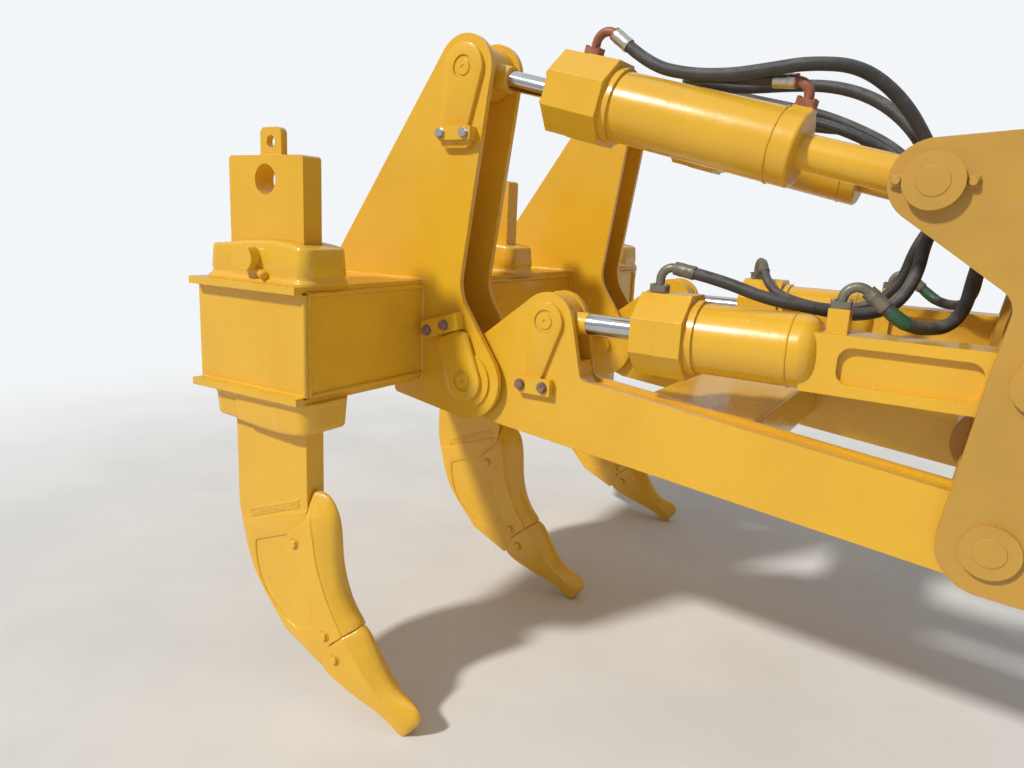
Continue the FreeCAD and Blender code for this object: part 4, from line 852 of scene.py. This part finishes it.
# Shank pins: each is welded round where it leaves the casting, and a locking bolt leans out of
# the casting below and in front of it.
SHANK_PIN_Z, PIN_WELD, PIN_WELD_POINTS = 0.208, 0.005, 49
PIN_WELD_RING, PIN_WELD_Y = 0.0465, -0.0895
LOCK = [(-0.015, 0.01275), (0.03276, 0.01275), (0.03432, 0.0150), (0.078, 0.0150), (0.081, 0.0117)]
LOCK_SEAT, LOCK_LEAN, LOCK_SIDES = (0.0065, -0.086, -0.032), (0.871, -0.385, -0.304), 24
for name, (x, y) in shank_middle.items():
    lock = turned(LOCK, np.array((x, y, SHANK_PIN_Z)) + LOCK_SEAT, LOCK_LEAN, LOCK_SIDES)
    ring = [(x + PIN_WELD_RING * math.cos(turn), y + PIN_WELD_Y, SHANK_PIN_Z + PIN_WELD_RING * math.sin(turn))
            for turn in np.linspace(0, 2 * math.pi, PIN_WELD_POINTS)]
    skins = [lock, bead(ring, PIN_WELD, closed=True)]
    piece_of("shank_pin_lock_" + name, "ripper", cast_enamel, skins)


# Shanks: forged blades. A band welded across each side marks where the nose, a little thicker,
# is joined on, and the eye plate on top is welded all round. The nose's side is a frame round a
# sunk crescent, behind the wear shield's cheek.
# Bands and outlines go by x and z, with x from the shank's middle.
STEP_BAND = ((-0.160, -0.777), (0.000, -0.722), (0.150, -0.669))
UPPER_BAND = ((-0.115, -0.727), (0.020, -0.678), (0.140, -0.634))
STEP_BEAD, UPPER_BEAD, UPPER_DROPS = 0.0045, 0.0060, (0, 0.008, 0.016, 0.024)
SHANK_FACE, BEAD_SUNK = 0.0400, 0.6
EYE_SEAM_Z, EYE_HALF, EYE_BEAD = 0.544, (0.051, 0.0125), 0.006
NOSE_LEVELS = ((0.0385, 0.0), (0.0405, 0.0), (0.0426, 0.0014), (0.0437, 0.0032), (0.0441, 0.0052))
SUNK_LEVELS = ((0.0340, 0.0), (0.0397, 0.0))
NOSE = [  # x, z, radius: along the step, down the rear, up the cheek's edge
    (0.180, -0.6595, 0.006), (-0.1650, -0.7800, 0.006), (-0.1193, -0.9600, 0.400), (0.0606, -1.1543, 0.020),
    (0.2430, -1.2365, 0.006), (0.262, -1.222, 0.006), (0.290, -1.160, 0.006), (0.284, -1.134, 0.006),
    (0.263, -1.1225, 0.006), (0.250, -1.1070, 0.006), (0.2235, -1.056, 0.006), (0.175, -1.110, 0.010),
    (0.128, -1.133, 0.030), (0.072, -1.114, 0.050), (0.011, -1.077, 0.100), (-0.035, -1.036, 0.100),
    (-0.067, -0.984, 0.100), (-0.087, -0.920, 0.100), (-0.094, -0.845, 0.022), (0.064, -0.784, 0.008),
    (0.0865, -0.7765, 0.006), (0.113, -0.7525, 0.006), (0.151, -0.7225, 0.006), (0.1805, -0.6915, 0.006)]
SUNK = [(-0.092, -0.858, 0.020), (-0.059, -0.955, 0.060), (0.159, -1.122, 0.020), (0.205, -1.071, 0.020),
        (0.109, -0.829, 0.040), (0.064, -0.781, 0.020), (-0.085, -0.838, 0.020)]


def plate_rings(outline, levels):
    """An outline across Y, at each (y, inset) of the levels moved inwards square to its own run."""
    outline = np.array(outline)
    run = np.roll(outline, -1, axis=0) - np.roll(outline, 1, axis=0)
    square = np.stack([-run[:, 1], run[:, 0]], axis=1) / np.linalg.norm(run, axis=1)[:, None]
    return np.array([np.insert(outline + square * inset, 1, y, axis=1) for y, inset in levels])


nose_rings = plate_rings(round_outline(NOSE), NOSE_LEVELS)
sunk_rings = plate_rings(round_outline(SUNK), SUNK_LEVELS)
bands = [(STEP_BAND, STEP_BEAD, 0)] + [(UPPER_BAND, UPPER_BEAD, drop) for drop in UPPER_DROPS]
for name, (x, y) in shank_middle.items():
    seams, frames = [], []
    for out in (1, -1):
        for line, size, drop in bands:
            seam_y = y + out * (SHANK_FACE - size * BEAD_SUNK)
            seams.append(bead([(x + forward, seam_y, z - drop) for forward, z in line], size))
        frames += [skin(rings * (1, out, 1) + (x, y, 0)) for rings in (nose_rings, sunk_rings)]
    around = [(x + EYE_HALF[0] * forward, y + EYE_HALF[1] * out, EYE_SEAM_Z)
              for forward, out in ((1, 1), (-1, 1), (-1, -1), (1, -1), (1, 1))]
    seams.append(bead(around, EYE_BEAD, closed=True))
    piece_of("shank_welds_" + name, "ripper", cast_enamel, seams, sharp=60)
    piece_of("shank_frames_" + name, "ripper", cast_enamel, frames)


# Wear shields: castings that wrap the shank's front edge, a thick prow with a cheek down each
# side. The head is domed and narrows upwards, and two pins hold each cheek.
SHIELD_HALF, SHANK_HALF, SHANK_FRONT = 0.0595, 0.0397, 0.1815
SHANK_BEND_Z, SHANK_SLOPE = -0.760, 0.4027
CUT_PASSES, LIP = 2, 0.006
SHIELD = np.array([  # cheek's rear edge x, z; crease x, z; nose x, z; half width
    (0.1825, -0.5960, 0.184, -0.5955, 0.205, -0.595, 0.008),
    (0.1825, -0.6000, 0.188, -0.5990, 0.236, -0.597, 0.015),
    (0.1825, -0.6120, 0.192, -0.6110, 0.256, -0.607, 0.021),
    (0.1825, -0.6360, 0.197, -0.6360, 0.276, -0.630, 0.031),
    (0.1825, -0.6640, 0.202, -0.6640, 0.290, -0.660, 0.043),
    (0.1810, -0.6900, 0.207, -0.6900, 0.297, -0.695, 0.056),
    (0.150, -0.722, 0.216, -0.724, 0.301, -0.735, 0.0595),
    (0.112, -0.752, 0.224, -0.757, 0.303, -0.775, 0.0595),
    (0.085, -0.776, 0.229, -0.794, 0.305, -0.818, 0.0595),
    (0.112, -0.822, 0.237, -0.838, 0.309, -0.856, 0.0595),
    (0.153, -0.900, 0.260, -0.902, 0.319, -0.905, 0.0595),
    (0.190, -0.980, 0.289, -0.966, 0.338, -0.960, 0.0595),
    (0.220, -1.050, 0.325, -1.024, 0.366, -1.005, 0.0595),
    (0.249, -1.109, 0.349, -1.059, 0.394, -1.030, 0.0595),
    (0.262, -1.124, 0.356, -1.070, 0.401, -1.040, 0.0595),
    (0.291, -1.140, 0.361, -1.080, 0.404, -1.047, 0.0595)])
SHIELD_PROW = [  # share of the way from crease to nose, share of the half width
    (0, 1), (0.05, 0.925), (0.12, 0.905), (0.22, 0.87), (0.70, 0.565), (0.80, 0.480), (0.88, 0.375),
    (0.94, 0.255), (0.98, 0.130), (1, 0)]
PIN_HEAD = [(-0.002, 0.0215), (0.0015, 0.0215), (0.0020, 0.0200), (0.0004, 0.0185), (0.0004, 0.0152),
            (0.0085, 0.0145), (0.0105, 0.0120), (0.0110, 0.0)]
PIN_HEAD_SIDES, SHIELD_PINS = 28, ((0.133, -0.792), (0.280, -1.103))


def cut_corners(stations):
    """Rounds a run of stations: each pass cuts every corner at a quarter of its two runs.

    Gives the places of edge, crease and nose as rows of (x, z), and the half widths.
    """
    for _ in range(CUT_PASSES):
        near = stations[:-1] * 0.75 + stations[1:] * 0.25
        far = stations[:-1] * 0.25 + stations[1:] * 0.75
        middle = np.stack([near, far], axis=1).reshape(-1, stations.shape[1])
        stations = np.concatenate([stations[:1], middle[1:-1], stations[-1:]])
    return stations[:, 0:2], stations[:, 2:4], stations[:, 4:6], stations[:, 6]


def prow_section(crease, nose, half, prow):
    """From the crease on one side over the nose to the other: a flat facet that rounds off."""
    u, share = np.array(prow).T
    y = half[:, None] * share
    spots = crease[:, None] + (nose - crease)[:, None] * u[None, :, None]
    one = np.stack([spots[..., 0], y, spots[..., 1]], axis=-1)
    other = one[:, -2::-1] * (1, -1, 1)
    return np.concatenate([one, other], axis=1)


def round_the_nose(cheek, prow, back):
    """Rings from the cheek's columns over the prow to the same columns mirrored, and the back.

    A column is the same place on every ring, given as rows of (x, z) and half widths.
    """
    left = [np.stack([spots[:, 0], half, spots[:, 1]], axis=-1)[:, None] for spots, half in (*cheek, back)]
    right = [column * (1, -1, 1) for column in left]
    return np.concatenate([*left[:-1], prow, *right[-2::-1], right[-1], left[-1]], axis=1)


def past_the_lip(edge, crease, half):
    """Places a rounded lip's width on from the edge towards the crease, less where it narrows."""
    onward = (crease - edge) / np.linalg.norm(crease - edge, axis=1)[:, None]
    return edge + onward * LIP * (half / SHIELD_HALF)[:, None]


def on_each_shank(kind, node, rings, pins):
    """A casting or forging on each shank's nose, with its pins, in place of a node's solid."""
    for name, (x, y) in shank_middle.items():
        skins = [skin(rings + (x, y, 0))]
        skins += [turned(PIN_HEAD, (x + pin_x, y + out * SHIELD_HALF, pin_z), (0, out, 0), PIN_HEAD_SIDES)
                  for pin_x, pin_z in pins for out in (1, -1)]
        piece = piece_of(f"{kind}_{name}", "ripper", cast_enamel, skins, sharp=28)
        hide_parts(f"{node}_{name}")


edge, crease, nose, half = cut_corners(SHIELD)
inner = half * SHANK_HALF / SHIELD_HALF
front_x = SHANK_FRONT + np.maximum(0, SHANK_BEND_Z - crease[:, 1]) * SHANK_SLOPE
back_wall = np.stack([front_x, crease[:, 1]], axis=1)
cheek = [(edge, inner), (edge, half - LIP * half / SHIELD_HALF), (past_the_lip(edge, crease, half), half),
         ((edge + crease) / 2, half)]
shield_rings = round_the_nose(cheek, prow_section(crease, nose, half, SHIELD_PROW), (back_wall, inner))
on_each_shank("shield_casting", "wear_shield", shield_rings, SHIELD_PINS)


# Tips: forged points that slide over the shank's nose, each held by one pin. Each is a socket
# with flat sides and a ridged top, and it narrows to a blunt rounded end.
TIP_PINS, UNDER_HALF, FLAT_HALF = ((0.330, -1.178),), 0.90, 0.45
TIP_PROW = [(0, 1), (0.10, 0.925), (0.74, 0.440), (0.84, 0.345), (0.92, 0.220), (0.98, 0.100), (1, 0)]
TIP = np.array([  # lower edge x, z; crease x, z; ridge x, z; half width
    (0.291, -1.122, 0.352, -1.070, 0.390, -1.036, 0.0520),
    (0.300, -1.139, 0.360, -1.083, 0.399, -1.049, 0.0530),
    (0.296, -1.1435, 0.364, -1.0845, 0.410, -1.0490, 0.0590),
    (0.292, -1.152, 0.371, -1.091, 0.420, -1.054, 0.0600),
    (0.275, -1.180, 0.389, -1.110, 0.438, -1.066, 0.0595),
    (0.257, -1.222, 0.430, -1.152, 0.470, -1.113, 0.0595),
    (0.300, -1.252, 0.452, -1.177, 0.496, -1.156, 0.0590),
    (0.352, -1.270, 0.478, -1.205, 0.527, -1.202, 0.0580),
    (0.420, -1.291, 0.516, -1.245, 0.562, -1.235, 0.0550),
    (0.488, -1.311, 0.552, -1.268, 0.596, -1.250, 0.0490),
    (0.545, -1.333, 0.590, -1.296, 0.632, -1.260, 0.0420),
    (0.588, -1.362, 0.621, -1.321, 0.660, -1.273, 0.0360),
    (0.607, -1.3815, 0.639, -1.339, 0.674, -1.303, 0.0300),
    (0.622, -1.3815, 0.644, -1.354, 0.668, -1.329, 0.0220),
    (0.636, -1.368, 0.644, -1.358, 0.652, -1.348, 0.0080)])
edge, crease, nose, half = cut_corners(TIP)
cheek = [(edge, half * UNDER_HALF), (past_the_lip(edge, crease, half), half), ((edge + crease) / 2, half)]
tip_rings = round_the_nose(cheek, prow_section(crease, nose, half, TIP_PROW), (edge, half * FLAT_HALF))
on_each_shank("tip_forging", "tip", tip_rings, TIP_PINS)
